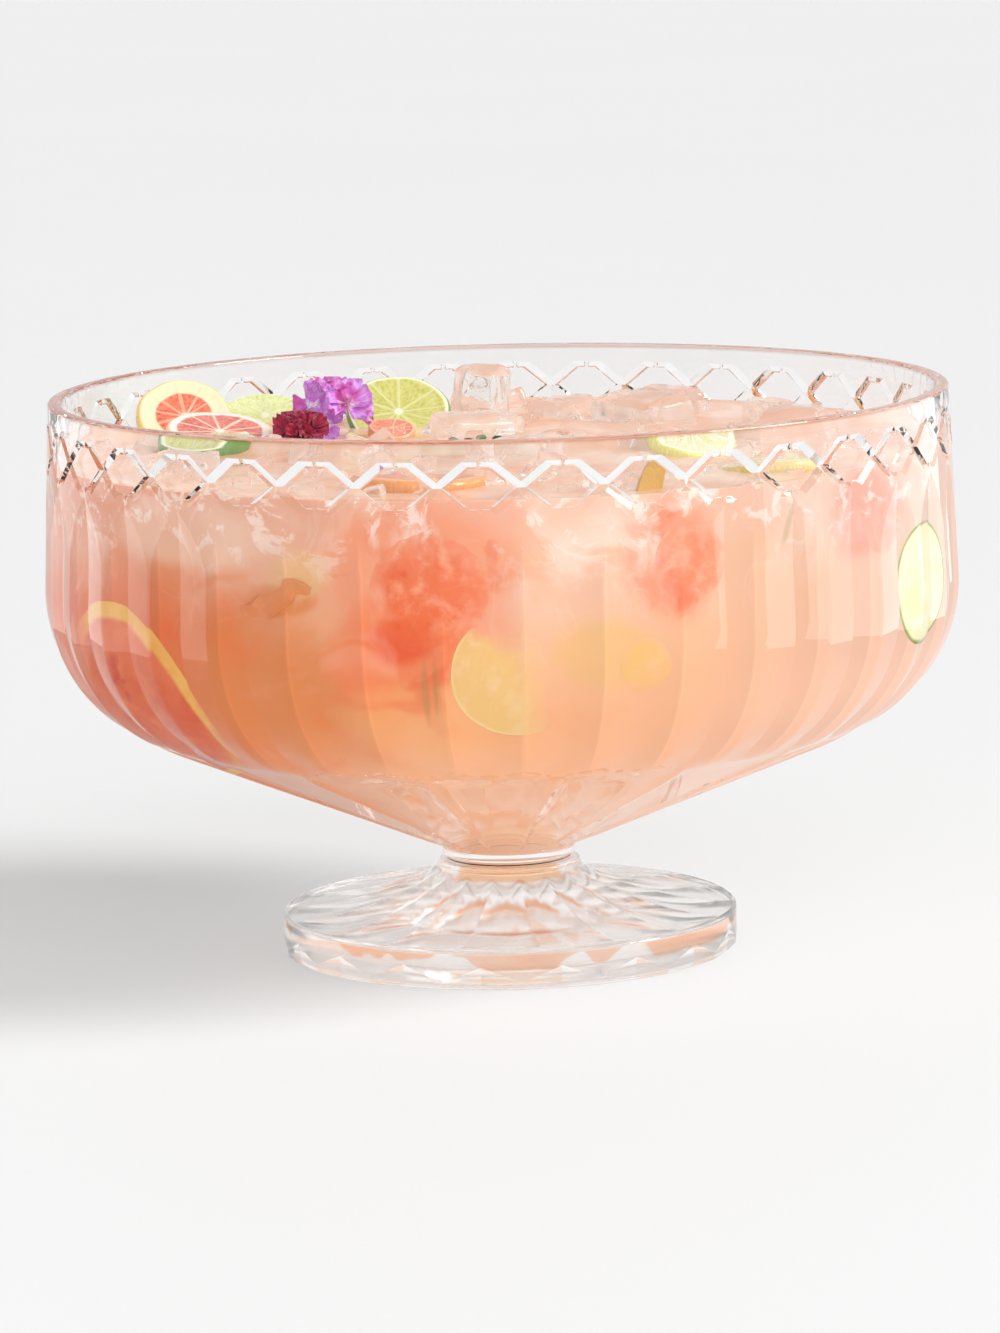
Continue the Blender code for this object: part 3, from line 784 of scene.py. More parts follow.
def build_foot():
    verts, faces = [], []
    N = 18 * 12

    def add(v):
        verts.append(v)
        return len(verts) - 1
    prof = [(0.012, FOOT_TOP_Z), (FOOT_NECK_R - 0.0016, FOOT_TOP_Z)]
    for i in range(1, 7):
        a = math.pi / 2 * i / 6
        prof.append((FOOT_NECK_R - 0.0016 + 0.0016 * math.sin(a), FOOT_TOP_Z - 0.0016 * (1 - math.cos(a))))
    n0 = len(prof)
    for i in range(0, 49):
        t = (i / 48.0) ** 1.5        # closer together where the neck flares
        r = FOOT_NECK_R + (FOOT_R - 0.0016 - FOOT_NECK_R) * t
        prof.append((r, FOOT_EDGE_Z + (FOOT_NECK_Z - FOOT_EDGE_Z) * (1 - t) ** 1.9 + 0.0020 * math.exp(-t / 0.045)))
    n1 = len(prof)
    for i in range(1, 7):
        a = math.pi / 2 * i / 6
        prof.append((FOOT_R - 0.0016 + 0.0016 * math.sin(a), FOOT_EDGE_Z - 0.0016 * (1 - math.cos(a))))
    prof += [(FOOT_R, 0.0118), (FOOT_R, 0.0104)]
    cut = len(prof)                  # a row of cut triangles round the lower half of the edge
    prof += [(FOOT_R, 0.0060), (FOOT_R, 0.0016)]
    for i in range(1, 6):
        a = math.pi / 2 * i / 5
        prof.append((FOOT_R - 0.0012 + 0.0012 * math.cos(a), 0.0012 - 0.0012 * math.sin(a)))
    cut_end = len(prof)
    prof += [(0.0790, 0.0), (0.0740, 0.0), (0.0680, 0.0)]
    for i in range(1, 13):
        t = i / 12.0
        prof.append((0.0670 - 0.0250 * t, 0.0022 * smooth(0.0, 1.0, t)))
    prof += [(0.030, 0.0022), (0.018, 0.0022), (0.006, 0.0022)]
    rings = []
    for i, (r, z) in enumerate(prof):
        ring = []
        for k in range(N):
            th = FLUTE_SHIFT + 360.0 * k / N
            ph = (th - FLUTE_SHIFT) / 20.0
            v = 1.0 - (abs(ph - round(ph)) * 2.0) ** 2     # 1 in the middle of a flute, sharp ridges between
            zz = z
            if n0 <= i < n1:
                t = (r - FOOT_NECK_R) / (FOOT_R - 0.0016 - FOOT_NECK_R)
                zz = z - (0.0015 * (1 - t) ** 1.1 + 0.0004) * v * smooth(0.01, 0.13, t)
            if cut <= i < cut_end:
                zig = 0.0030 + 0.0056 * abs(((th + 7.5) / 20.0) % 1.0 * 2.0 - 1.0)
                if i == cut:
                    zz = zig
                else:
                    r = prof[i][0] - 0.16 * (zig - 0.0016)
            ring.append(add(polar(th, r, zz)))
        rings.append(ring)
    for a, b in zip(rings[:-1], rings[1:]):
        for k in range(N):
            j = (k + 1) % N
            faces.append([a[k], b[k], b[j], a[j]])
    t0 = add(Vector((0, 0, prof[0][1])))
    b0 = add(Vector((0, 0, prof[-1][1])))
    for k in range(N):
        j = (k + 1) % N
        faces.append([t0, rings[0][k], rings[0][j]])
        faces.append([rings[-1][k], b0, rings[-1][j]])
    return make("foot_glass", verts, faces, m_foot_glass, "bowl", "foot", sharp=5.0)


build_foot()
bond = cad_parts["bond_film"]
bond.data.materials.clear()
bond.data.materials.append(glass_material("bond_clear", (0.97, 0.97, 0.96, 1), 1.48, (0.95, 0.95, 0.95, 1)))


# ============================================================================ punch
def wall_coords(g, o):
    """Angle round the bowl in degrees (0 at the front, + to the right) and height in mm."""
    x, y, z = g.xyz(o)
    th = g.math('MULTIPLY', g.math('ARCTAN2', x, g.math('MULTIPLY', y, -1.0)), 180.0 / math.pi)
    return th, g.math('MULTIPLY', z, 1000.0)


def blob(g, th, zz, n, t0, z0, a, b, rag=0.5, hard=0.25):
    """Soft ragged spot on the wall of the drink, 1 in its middle."""
    dx = g.math('DIVIDE', g.math('SUBTRACT', th, t0), a)
    dz = g.math('DIVIDE', g.math('SUBTRACT', zz, z0), b)
    d = g.math('SQRT', g.math('ADD', g.math('MULTIPLY', dx, dx), g.math('MULTIPLY', dz, dz)))
    d = g.math('ADD', d, g.math('MULTIPLY', g.math('SUBTRACT', n, 0.5), rag))
    return g.range(d, 1.0 + hard, 1.0 - hard)


PUNCH_BLOBS = [  # angle, height, half width (deg), half height (mm), colour, strength
    (-62.0, 120.0, 36.0, 34.0, (217, 94, 30), 0.92),
    (-30.0, 118.0, 15.0, 24.0, (216, 124, 56), 0.80),
    (-9.5, 157.0, 13.0, 30.0, (240, 152, 114), 0.90),
    (-13.5, 134.0, 8.5, 20.0, (238, 122, 66), 0.85),
    (-12.5, 139.0, 4.2, 8.0, (230, 76, 4), 0.85),
    (-8.0, 112.0, 12.0, 12.0, (240, 166, 104), 0.55),
    (20.5, 164.0, 6.2, 19.0, (250, 146, 112), 0.85),
    (12.0, 134.0, 7.0, 12.0, (230, 180, 108), 0.60),
    (52.0, 172.0, 8.0, 14.0, (230, 142, 120), 0.75),
    (-42.0, 172.0, 13.0, 11.0, (234, 192, 166), 0.60),
    (-28.0, 152.0, 4.6, 6.0, (216, 122, 48), 0.75),
    (-25.5, 161.0, 4.0, 8.0, (224, 176, 108), 0.60),
    (8.5, 171.0, 6.0, 12.0, (240, 184, 150), 0.70),
    (36.0, 156.0, 9.0, 20.0, (232, 178, 144), 0.60),
    (128.0, 150.0, 20.0, 26.0, (244, 150, 112), 0.70),
    (178.0, 132.0, 24.0, 26.0, (240, 156, 92), 0.60),
    (-128.0, 140.0, 22.0, 28.0, (238, 132, 94), 0.70),
]


def punch_colour_nodes(g, o):
    """Colour of the drink at a place: paler and pinker on top, deeper peach below, with icy haze, and with painted
    light and shade from the key light and the flutes.
    """
    x, y, z = g.xyz(o)
    th, zz = wall_coords(g, o)
    t = g.range(z, 0.040, 0.186, 0.0, 1.0, 'LINEAR')
    warp = g.vmath('ADD', o, g.vmath('SCALE', g.vmath('SUBTRACT', g.noise_vec(o, 16.0, 2.0), (0.5, 0.5, 0.5)), scale=0.045))
    n1 = g.noise(warp, 11.0, 3.0, 0.5)
    n3 = g.noise(warp, 48.0, 4.0, 0.62)
    t2 = g.math('ADD', t, g.math('MULTIPLY', g.math('SUBTRACT', n1, 0.5), 0.40))
    base = g.ramp(t2, [(0.00, lin(237, 174, 138)), (0.30, lin(239, 165, 112)), (0.55, lin(241, 172, 122)),
                       (0.72, lin(239, 178, 136)), (0.86, lin(236, 184, 152)), (1.0, lin(234, 182, 158))])
    # paler towards +X, the side the key light falls on: partly more melt water, partly painted light
    side = g.range(g.math('ADD', x, g.math('MULTIPLY', g.math('SUBTRACT', n1, 0.5), 0.08)), 0.0, 0.15)
    base = g.mix(g.math('MULTIPLY', side, 0.78), base, lin(229, 184, 162))
    # deeper orange towards -X, away from the key light: partly a deeper drink, partly painted shade
    deep_and_shaded_left = g.range(x, -0.01, -0.13)
    base = g.mix(g.math('MULTIPLY', deep_and_shaded_left, 0.68), base, lin(211, 108, 46))
    # the cone is pinker towards +X and deeper towards -X, partly its own colour and partly painted light and shade from
    # the key light on the right
    cone = g.range(z, 0.088, 0.066)
    base = g.mix(g.math('MULTIPLY', g.math('MULTIPLY', cone, g.range(x, -0.030, 0.030)), 0.55), base, lin(238, 200, 178))
    base = g.mix(g.math('MULTIPLY', g.math('MULTIPLY', cone, g.range(x, -0.015, -0.070)), 0.60), base, lin(218, 128, 70))
    nb = g.math('ADD', g.math('MULTIPLY', n1, 0.45), g.math('MULTIPLY', n3, 0.55))
    for t0, z0, a, b, c, k in PUNCH_BLOBS:
        base = g.mix(g.math('MULTIPLY', blob(g, th, zz, nb, t0, z0, a, b, 1.3, 0.55 if a > 14.0 else 0.32), k), base, lin(*c))
    # paler and deeper patches inside the pulp
    n4 = g.noise(warp, 36.0, 3.0, 0.55, 0.8)
    sx, sy, sz = g.xyz(base)
    red = g.range(g.math('SUBTRACT', sx, sy), 0.42, 0.62)
    base = g.mix(g.math('MULTIPLY', g.math('MULTIPLY', red, g.range(n4, 0.54, 0.66)), 0.26), base, lin(247, 186, 160))
    base = g.mix(g.math('MULTIPLY', g.math('MULTIPLY', red, g.range(n4, 0.44, 0.34)), 0.55), base, lin(230, 94, 42))
    # icy clouds in the upper third
    n2 = g.noise(warp, 26.0, 4.0, 0.62, 0.4)
    v = g.voronoi(warp, 34.0, 'SMOOTH_F1')
    cloud = g.math('MULTIPLY', g.range(n2, 0.46, 0.62), g.range(v, 0.72, 0.30))
    cloud = g.math('MULTIPLY', cloud, g.range(z, 0.136, 0.176))
    calm = g.range(th, -24.0, -36.0, 1.0, 0.45)
    calm = g.math('MULTIPLY', calm, g.range(th, 22.0, 34.0, 1.0, 0.40))
    base = g.mix(g.math('MULTIPLY', g.math('MULTIPLY', cloud, calm), 0.72), base, lin(246, 220, 204))
    # thin wisps of melt water, and crumbs of ice under the waterline
    n5 = g.noise(g.vmath('MULTIPLY', warp, (1.0, 1.0, 0.55)), 40.0, 3.0, 0.5, 1.2)
    wisp = g.math('MULTIPLY', g.range(g.math('ABSOLUTE', g.math('SUBTRACT', n5, 0.5)), 0.022, 0.0), g.range(n2, 0.40, 0.56))
    wisp = g.math('MULTIPLY', wisp, g.range(z, 0.128, 0.160))
    base = g.mix(g.math('MULTIPLY', wisp, 0.12), base, lin(252, 234, 222))
    crumb = g.math('MULTIPLY', g.range(g.noise(warp, 120.0, 4.0, 0.65, 0.5), 0.52, 0.60), g.range(n2, 0.40, 0.52))
    crumb = g.math('MULTIPLY', crumb, g.range(z, 0.154, 0.180))
    base = g.mix(g.math('MULTIPLY', crumb, 0.55), base, lin(252, 236, 226))
    # stems of herb in the drink
    for t0, z0, a, b, lean in ((-9.6, 122.0, 0.45, 9.0, 0.0), (-8.3, 123.5, 0.30, 8.0, 0.0), (37.5, 172.0, 0.55, 8.5, -0.12),
                               (66.0, 121.0, 0.40, 7.0, 0.10)):
        tl = g.math('ADD', th, g.math('MULTIPLY', g.math('SUBTRACT', zz, z0), lean))
        base = g.mix(g.math('MULTIPLY', blob(g, tl, zz, n3, t0, z0, a, b, 0.9, 0.55), 0.38), base, lin(150, 132, 66))
    # looking down into the drink, away from the wall, it is deeper
    rad = g.math('SQRT', g.math('ADD', g.math('MULTIPLY', x, x), g.math('MULTIPLY', y, y)))
    down = g.math('MULTIPLY', g.range(z, 0.1838, 0.1850), g.range(rad, 0.1592, 0.1560))
    top = g.mix(g.range(n2, 0.36, 0.66), lin(234, 172, 138), lin(244, 206, 180))
    # painted shade: the upper drink towards +X is darkened by up to a fifth
    shade = g.range(g.math('ADD', x, g.math('MULTIPLY', g.math('SUBTRACT', n1, 0.5), 0.06)), 0.01, 0.13, 0.0, 0.20)
    shade = g.math('SUBTRACT', 1.0, g.math('MULTIPLY', shade, g.range(z, 0.105, 0.135)))
    base = g.vmath('SCALE', base, scale=shade)
    # painted light: every flute of the glass gathers the light a little, painted into the drink as a paler side behind
    # each flute and a brighter seam at its edge
    ph = g.math('FRACT', g.math('DIVIDE', g.math('SUBTRACT', th, FLUTE_SHIFT - 5.0), 10.0))
    lens = g.math('MULTIPLY', g.math('SUBTRACT', 0.5, ph), 0.13)
    painted_flute_seam = g.range(g.math('ABSOLUTE', g.math('SUBTRACT', ph, 0.5)), 0.455, 0.5, 0.0, 0.06)
    lens = g.math('MULTIPLY', g.math('ADD', lens, painted_flute_seam), g.math('MULTIPLY', g.range(z, 0.084, 0.100), g.range(z, 0.176, 0.160)))
    base = g.vmath('SCALE', base, scale=g.math('ADD', lens, 1.0))
    return g.mix(down, base, top)


def punch_group():
    t = bpy.data.node_groups.new("drink_colour_and_painted_light", 'ShaderNodeTree')
    t.interface.new_socket("Place", in_out='INPUT', socket_type='NodeSocketVector')
    t.interface.new_socket("Colour", in_out='OUTPUT', socket_type='NodeSocketColor')
    g = G("", t)
    gi, go = t.nodes.new("NodeGroupInput"), t.nodes.new("NodeGroupOutput")
    t.links.new(punch_colour_nodes(g, gi.outputs[0]), go.inputs[0])
    return t


PUNCH_GROUP = punch_group()


def punch_colour(g, o):
    n = g.node("ShaderNodeGroup")
    n.node_tree = PUNCH_GROUP
    g.put(n.inputs[0], o)
    return n.outputs[0]


def plain_bounce(g, shader):
    """For diffuse rays the surface is a neutral glow, painted light in place of the light that passes through the
    drink, so the light it throws on to the floor stays neutral.
    """
    lp = g.node("ShaderNodeLightPath")
    bounce_glow = g.node("ShaderNodeEmission")
    bounce_glow.inputs[0].default_value = (0.60, 0.57, 0.55, 1)
    mx = g.node("ShaderNodeMixShader")
    g.t.links.new(lp.outputs["Is Diffuse Ray"], mx.inputs[0])
    g.t.links.new(shader, mx.inputs[1])
    g.t.links.new(bounce_glow.outputs[0], mx.inputs[2])
    return mx.outputs[0]


def punch_material():
    g = G("peach_punch_liquid")
    o = g.coords("Object")
    col = punch_colour(g, o)
    ripple = g.noise(o, 60.0, 3.0, 0.5)
    # painted light: a glow in the drink's own colour, stronger low down, for the daylight that comes through the thin
    # lower part of the drink
    _, _, z = g.xyz(o)
    lit = g.vmath('SCALE', col, scale=g.range(z, 0.130, 0.050, 0.35, 1.0))
    return g.done(plain_bounce(g, g.principled(Base_Color=col, Roughness=0.14, IOR=1.33, Specular_IOR_Level=0.12,
                                               Subsurface_Weight=0.25, Subsurface_Radius=(0.012, 0.005, 0.003),
                                               Subsurface_Scale=1.0,
                                               Emission_Color=lit, Emission_Strength=0.24,
                                               Normal=g.bump(ripple, 0.25, 0.0008))))


m_punch = punch_material()
SINK = 0.00012       # the liquid wets the glass: its skin lies just inside the wall


def build_punch():
    verts, faces = [], []
    N = 192

    def add(v):
        verts.append(v)
        return len(verts) - 1
    rings = []
    # top, from the middle out, with low waves and a small meniscus at the wall
    tops = [0.004, 0.012, 0.022, 0.032, 0.043, 0.054, 0.065, 0.076, 0.087, 0.098, 0.109, 0.119, 0.128, 0.137, 0.144,
            0.150, 0.1545, 0.1572, 0.1588]
    for r in tops:
        ring = []
        for k in range(N):
            th = 360.0 * k / N
            p = polar(th, r, LEVEL)
            w = mnoise.noise(Vector((p.x * 60, p.y * 60, 1.7))) * 0.0011
            w *= smooth(0.158, 0.145, r)
            p.z += w + 0.0009 * smooth(0.152, 0.1596, r)
            ring.append(add(p))
        rings.append(ring)
    s0 = INNER.at_z(LEVEL + 0.0009)
    for i in range(0, 90):
        s = s0 + (INNER.s[-1] - s0) * i / 90.0
        r, z, nr, nz = INNER.at(s)
        rings.append([add(polar(360.0 * k / N, r + nr * SINK, z + nz * SINK)) for k in range(N)])
    for a, b in zip(rings[:-1], rings[1:]):
        for k in range(N):
            j = (k + 1) % N
            faces.append([a[k], b[k], b[j], a[j]])
    t0 = add(Vector((0, 0, LEVEL)))
    b0 = add(Vector((0, 0, INNER.p[-1][1] - SINK)))
    for k in range(N):
        j = (k + 1) % N
        faces.append([t0, rings[0][k], rings[0][j]])
        faces.append([rings[-1][k], b0, rings[-1][j]])
    return make("punch_liquid", verts, faces, m_punch, "contents", "punch", sharp=50)


build_punch()

# ============================================================================ citrus
PALETTE = {   # flesh, deep flesh, pale flesh, membrane, pith, peel, segments, where the pith and the peel start
    "grapefruit": dict(a=(238, 104, 72), b=(216, 62, 38), c=(250, 158, 124), mem=(253, 206, 176), pith=(254, 236, 204),
                       peel=(242, 176, 72), n=11, r1=0.80, r2=0.935),
    "lime": dict(a=(208, 200, 96), b=(192, 188, 78), c=(226, 222, 146), mem=(224, 222, 150), pith=(240, 242, 204),
                 peel=(112, 166, 52), n=10, r1=0.89, r2=0.95),
    "lemon": dict(a=(248, 224, 124), b=(240, 206, 84), c=(254, 242, 186), mem=(255, 250, 224), pith=(255, 250, 228),
                  peel=(248, 206, 62), n=10, r1=0.83, r2=0.94),
    "orange": dict(a=(250, 150, 52), b=(238, 120, 24), c=(254, 190, 104), mem=(255, 224, 172), pith=(255, 236, 206),
                   peel=(244, 134, 22), n=11, r1=0.86, r2=0.94),
}


def jitter(a, ph):
    return a + 0.10 * math.sin(2 * a + ph) + 0.07 * math.sin(3 * a + ph * 1.7)


def citrus_colour(g, kind, ph, **over):
    """Segments, membranes, pith and peel, drawn from the slice's own UV disc. Returns colour and pulp height."""
    k = dict(PALETTE[kind])
    k.update(over)
    uv = g.coords("UV")
    u, v, _ = g.xyz(uv)
    px = g.math('MULTIPLY', g.math('SUBTRACT', u, 0.5), 2.0)
    py = g.math('MULTIPLY', g.math('SUBTRACT', v, 0.5), 2.0)
    r = g.math('SQRT', g.math('ADD', g.math('MULTIPLY', px, px), g.math('MULTIPLY', py, py)))
    a = g.math('ARCTAN2', py, px)
    aj = g.math('ADD', a, g.math('ADD', g.math('MULTIPLY', g.math('SINE', g.math('ADD', g.math('MULTIPLY', a, 2.0), ph)), 0.10),
                                 g.math('MULTIPLY', g.math('SINE', g.math('ADD', g.math('MULTIPLY', a, 3.0), ph * 1.7)), 0.07)))
    seg = g.math('MULTIPLY', aj, k["n"] / (2 * math.pi))
    fr = g.math('SUBTRACT', seg, g.math('FLOOR', seg))
    edge = g.math('SUBTRACT', 0.5, g.math('ABSOLUTE', g.math('SUBTRACT', fr, 0.5)))     # 0 on a membrane
    dist = g.math('MULTIPLY', edge, g.math('MULTIPLY', r, 2 * math.pi / k["n"]))
    wob = g.noise(uv, 9.0, 3.0)
    dist = g.math('ADD', dist, g.math('MULTIPLY', g.math('SUBTRACT', wob, 0.5), 0.018))
    flesh_in = g.range(dist, 0.012, 0.040)
    # juice sacs: long cells that point to the middle
    cells = g.vec(g.math('MULTIPLY', aj, 5.2), g.math('MULTIPLY', r, 5.0), ph)
    vd = g.voronoi(cells, 2.3, 'F1')
    vc = g.voronoi(cells, 2.3, 'F1', "Color")
    sac, _, _ = g.xyz(vc)
    big = g.noise(uv, 4.5, 2.0)
    flesh = g.mix(g.range(big, 0.35, 0.68), lin(*k["a"]), lin(*k["b"]))
    flesh = g.mix(g.math('MULTIPLY', g.range(sac, 0.45, 1.0), 0.55), flesh, lin(*k["c"]))
    flesh = g.mix(g.math('MULTIPLY', g.range(vd, 0.30, 0.62), 0.35), flesh, lin(*k["c"]))
    r1 = g.math('ADD', g.math('MULTIPLY', g.math('SUBTRACT', wob, 0.5), 0.05), k["r1"])
    outer = g.range(g.math('SUBTRACT', r, r1), -0.025, 0.025)
    core = g.range(r, 0.105, 0.060)
    body = g.mix(flesh_in, lin(*k["mem"]), flesh)
    body = g.mix(core, body, lin(*k["pith"]))
    body = g.mix(outer, body, lin(*k["pith"]))
    pores = g.noise(uv, 60.0, 2.0)
    peel = g.mix(g.range(pores, 0.40, 0.70), lin(*k["peel"]), lin(*[min(255, int(c * 1.10) + 8) for c in k["peel"]]))
    rim = g.range(r, k["r2"] - 0.012, k["r2"] + 0.012)
    col = g.mix(rim, body, peel)
    height = g.math('MULTIPLY', g.math('MULTIPLY', flesh_in, g.math('SUBTRACT', 1.0, outer)),
                    g.math('SUBTRACT', 1.0, g.math('MULTIPLY', vd, 0.8)))
    return col, height, r


def citrus_material(name, kind, ph=0.0, haze=0.0, soft=None, glow=0.05, **over):
    """haze: how much drink lies in front of the slice; soft: outer radius share where it sinks into the drink."""
    g = G(name)
    col, height, r = citrus_colour(g, kind, ph, **over)
    if haze > 0:
        o = g.coords("Object")
        punch = punch_colour(g, o)
        n = g.noise(o, 30.0, 3.0, 0.6)
        h = g.math('ADD', g.math('MULTIPLY', g.math('SUBTRACT', n, 0.5), 0.7), haze, clamp=True)
        if soft:
            h = g.math('MAXIMUM', h, g.range(g.math('ADD', r, g.math('MULTIPLY', g.math('SUBTRACT', n, 0.5), 0.35)), soft, 0.97))
        col = g.mix(h, col, punch)
    # painted light: the slice glows faintly in its own colour (glow)
    return g.done(g.principled(Base_Color=col, Roughness=0.22, Subsurface_Weight=0.15,
                               Subsurface_Radius=(0.004, 0.002, 0.001), Subsurface_Scale=1.0, Coat_Weight=0.35,
                               Coat_Roughness=0.08, Emission_Color=col, Emission_Strength=glow,
                               Normal=g.bump(height, 0.5, 0.0006)))


def disc_points(n_seg, ph):
    """Columns of a slice: finer beside each membrane."""
    cols = []
    for k in range(n_seg):
        for f in (0.0, 0.07, 0.22, 0.36, 0.5, 0.64, 0.78, 0.93):
            target = (k + f) / n_seg * 2 * math.pi
            a = target
            for _ in range(12):
                a = a - (jitter(a, ph) - target)
            cols.append((a, f))
    return cols


RADII = [0.05, 0.11, 0.20, 0.32, 0.45, 0.58, 0.69, 0.77, 0.82, 0.86, 0.90, 0.94, 0.972, 0.992]


def slice_disc(name, kind, mat, body, radius, thick, at, normal, spin, ph, curl=0.03):
    """A round cut slice with raised membranes, sunken sacs, a rounded peel and a slight curl."""
    k = PALETTE[kind]
    cols = disc_points(k["n"], ph)
    verts, faces, uv = [], [], []

    def add(x, y, z, r, a):
        w = curl * radius * (r * r) * math.cos(2 * a + ph)
        verts.append(Vector((x, y, z + w)))
        uv.append((0.5 + 0.5 * r * math.cos(a), 0.5 + 0.5 * r * math.sin(a)))
        return len(verts) - 1
    h = thick / 2
    rings = []
    for side in (1, -1):
        for r in (RADII if side == 1 else RADII[::-1]):
            ring = []
            for a, f in cols:
                z = h
                if r < 0.86:
                    mem = min(f, 1 - f) * 2 * math.pi / k["n"] * r
                    sunk = smooth(0.0, 0.05, mem) * smooth(0.86, 0.78, r) * smooth(0.06, 0.16, r)
                    bulge = math.sin(math.pi * f) * smooth(0.1, 0.4, r)
                    z += (-0.00050 + 0.00030 * bulge) * sunk
                if r > 0.94:
                    z -= h * 0.55 * smooth(0.94, 1.0, r) ** 1.5
                wob = 1 + 0.012 * math.sin(3 * a + ph) + 0.008 * math.sin(7 * a + 2 * ph)
                ring.append(add(r * wob * radius * math.cos(a), r * wob * radius * math.sin(a), side * z, r, a))
            rings.append(ring)
        if side == 1:
            ring = []
            for a, f in cols:
                wob = 1 + 0.012 * math.sin(3 * a + ph) + 0.008 * math.sin(7 * a + 2 * ph)
                ring.append(add(wob * radius * math.cos(a), wob * radius * math.sin(a), 0.0, 1.0, a))
            rings.append(ring)
    n = len(cols)
    for a, b in zip(rings[:-1], rings[1:]):
        for i in range(n):
            j = (i + 1) % n
            faces.append([a[i], b[i], b[j], a[j]])
    for ring, sgn in ((rings[0], 1), (rings[-1], -1)):
        c = add(0, 0, sgn * h, 0.0, 0.0)
        for i in range(n):
            faces.append([c, ring[i], ring[(i + 1) % n]])
    q = Vector(normal).normalized().to_track_quat('Z', 'Y')
    m = Matrix.Translation(Vector(at)) @ q.to_matrix().to_4x4() @ Matrix.Rotation(math.radians(spin), 4, 'Z')
    return make(name + "_fruit", [m @ v for v in verts], faces, mat, body, name, sharp=60, uv=uv)


def slice_wall(name, mat, theta, z_mm, radius, thick, spin=0.0, out=0.00025, squash=1.0, sink=0.96, dip=()):
    """A slice pressed against the inside of the glass and bent to it."""
    s0 = INNER.at_z(z_mm / 1000.0)
    n = 96
    radii = [0.06 * i for i in range(1, 16)] + [0.94, 0.97, 0.99, 1.0]
    verts, faces, uv = [], [], []

    def add(r, a, depth):
        x = r * radius * math.cos(a)
        y = r * radius * math.sin(a) * squash
        sp = math.radians(spin)
        rr, zz, nr, nz = INNER.at(s0 - y)
        th = theta + math.degrees(x / rr)
        for fx, fy, f0, f1 in dip:
            depth -= 0.0008 * smooth(f0, f1, r * (fx * math.cos(a) + fy * math.sin(a)) + 0.05 * math.sin(5 * a + 9 * r))
        verts.append(polar(th, rr + nr * depth, zz + nz * depth))
        uv.append((0.5 + 0.5 * r * math.cos(a + sp), 0.5 + 0.5 * r * math.sin(a + sp)))
        return len(verts) - 1
    rings = []
    for r in radii:
        d = out - 0.0005 * smooth(sink, 1.0, r)
        rings.append([add(r, 2 * math.pi * i / n, d) for i in range(n)])
    rings.append([add(1.0, 2 * math.pi * i / n, -thick * 0.5) for i in range(n)])
    for r in radii[::-1]:
        rings.append([add(r, 2 * math.pi * i / n, -thick) for i in range(n)])
    for a, b in zip(rings[:-1], rings[1:]):
        for i in range(n):
            j = (i + 1) % n
            faces.append([a[i], b[i], b[j], a[j]])
    for ring, d in ((rings[0], out), (rings[-1], -thick)):
        c = add(0.0, 0.0, d)
        for i in range(n):
            faces.append([c, ring[i], ring[(i + 1) % n]])
    return make(name + "_fruit", verts, faces, mat, "contents", name, sharp=60, uv=uv)


def hazy_material(name, a, b, c, haze, soft=None, rim=None, rim_at=0.90, rim2=None, seg=0.12, ph=0.0, n_seg=11, spots=None,
                  fade=None):
    """A slice seen through some of the drink: its flesh is blurred, its rim may still show."""
    g = G("fruit_" + name)
    uv = g.coords("UV")
    o = g.coords("Object")
    u, v, _ = g.xyz(uv)
    px = g.math('MULTIPLY', g.math('SUBTRACT', u, 0.5), 2.0)
    py = g.math('MULTIPLY', g.math('SUBTRACT', v, 0.5), 2.0)
    r = g.math('SQRT', g.math('ADD', g.math('MULTIPLY', px, px), g.math('MULTIPLY', py, py)))
    ang = g.math('ARCTAN2', py, px)
    n1 = g.noise(o, 42.0, 3.0, 0.55, 0.3)
    n2 = g.noise(o, 120.0, 4.0, 0.6)
    col = g.mix(g.range(n1, 0.40, 0.62), lin(*a), lin(*b))
    col = g.mix(g.math('MULTIPLY', g.range(n2, 0.46, 0.70), 0.75), col, lin(*c))
    spoke = g.math('ABSOLUTE', g.math('SINE', g.math('ADD', g.math('MULTIPLY', ang, n_seg / 2.0), ph)))
    col = g.mix(g.math('MULTIPLY', g.range(spoke, 0.22, 0.0), seg), col, lin(*c))
    if spots:
        sp = g.math('MULTIPLY', g.range(g.noise(o, 90.0, 3.0, 0.5), 0.56, 0.66), g.range(r, 0.75, 0.30))
        col = g.mix(g.math('MULTIPLY', sp, 0.85), col, lin(*spots))
    if rim:
        wob = g.math('ADD', r, g.math('MULTIPLY', g.math('SUBTRACT', n1, 0.5), 0.06))
        skin = g.mix(g.range(n2, 0.35, 0.65), lin(*rim), lin(*(rim2 or rim)))
        col = g.mix(g.range(wob, rim_at - 0.03, rim_at + 0.03), col, skin)
    h = g.math('ADD', g.math('MULTIPLY', g.math('SUBTRACT', g.noise(o, 30.0, 3.0, 0.6), 0.5), 0.6), haze, clamp=True)
    if soft:
        rag = g.math('ADD', g.math('MULTIPLY', g.math('SUBTRACT', n1, 0.5), 1.1), g.math('MULTIPLY', g.math('SUBTRACT', n2, 0.5), 0.5))
        h = g.math('MAXIMUM', h, g.range(g.math('ADD', r, rag), soft, 0.98))
    for fx, fy, f0, f1 in fade or ():
        d = g.math('ADD', g.math('ADD', g.math('MULTIPLY', px, fx), g.math('MULTIPLY', py, fy)),
                   g.math('MULTIPLY', g.math('SUBTRACT', n1, 0.5), 0.7))
        h = g.math('MAXIMUM', h, g.range(d, f0, f1))
    col = g.mix(h, col, punch_colour(g, o))
    # painted light: the slice glows faintly in its own colour
    return g.done(plain_bounce(g, g.principled(Base_Color=col, Roughness=0.30, Specular_IOR_Level=0.12, Subsurface_Weight=0.2,
                                               Subsurface_Radius=(0.008, 0.004, 0.002), Subsurface_Scale=1.0,
                                               Emission_Color=col, Emission_Strength=0.07,
                                               Normal=g.bump(n2, 0.25, 0.0006))))


# ---- slices against the glass
def wall_mat(name, kind, ph, haze, **kw):
    return citrus_material("fruit_" + name, kind, ph, haze, **kw)


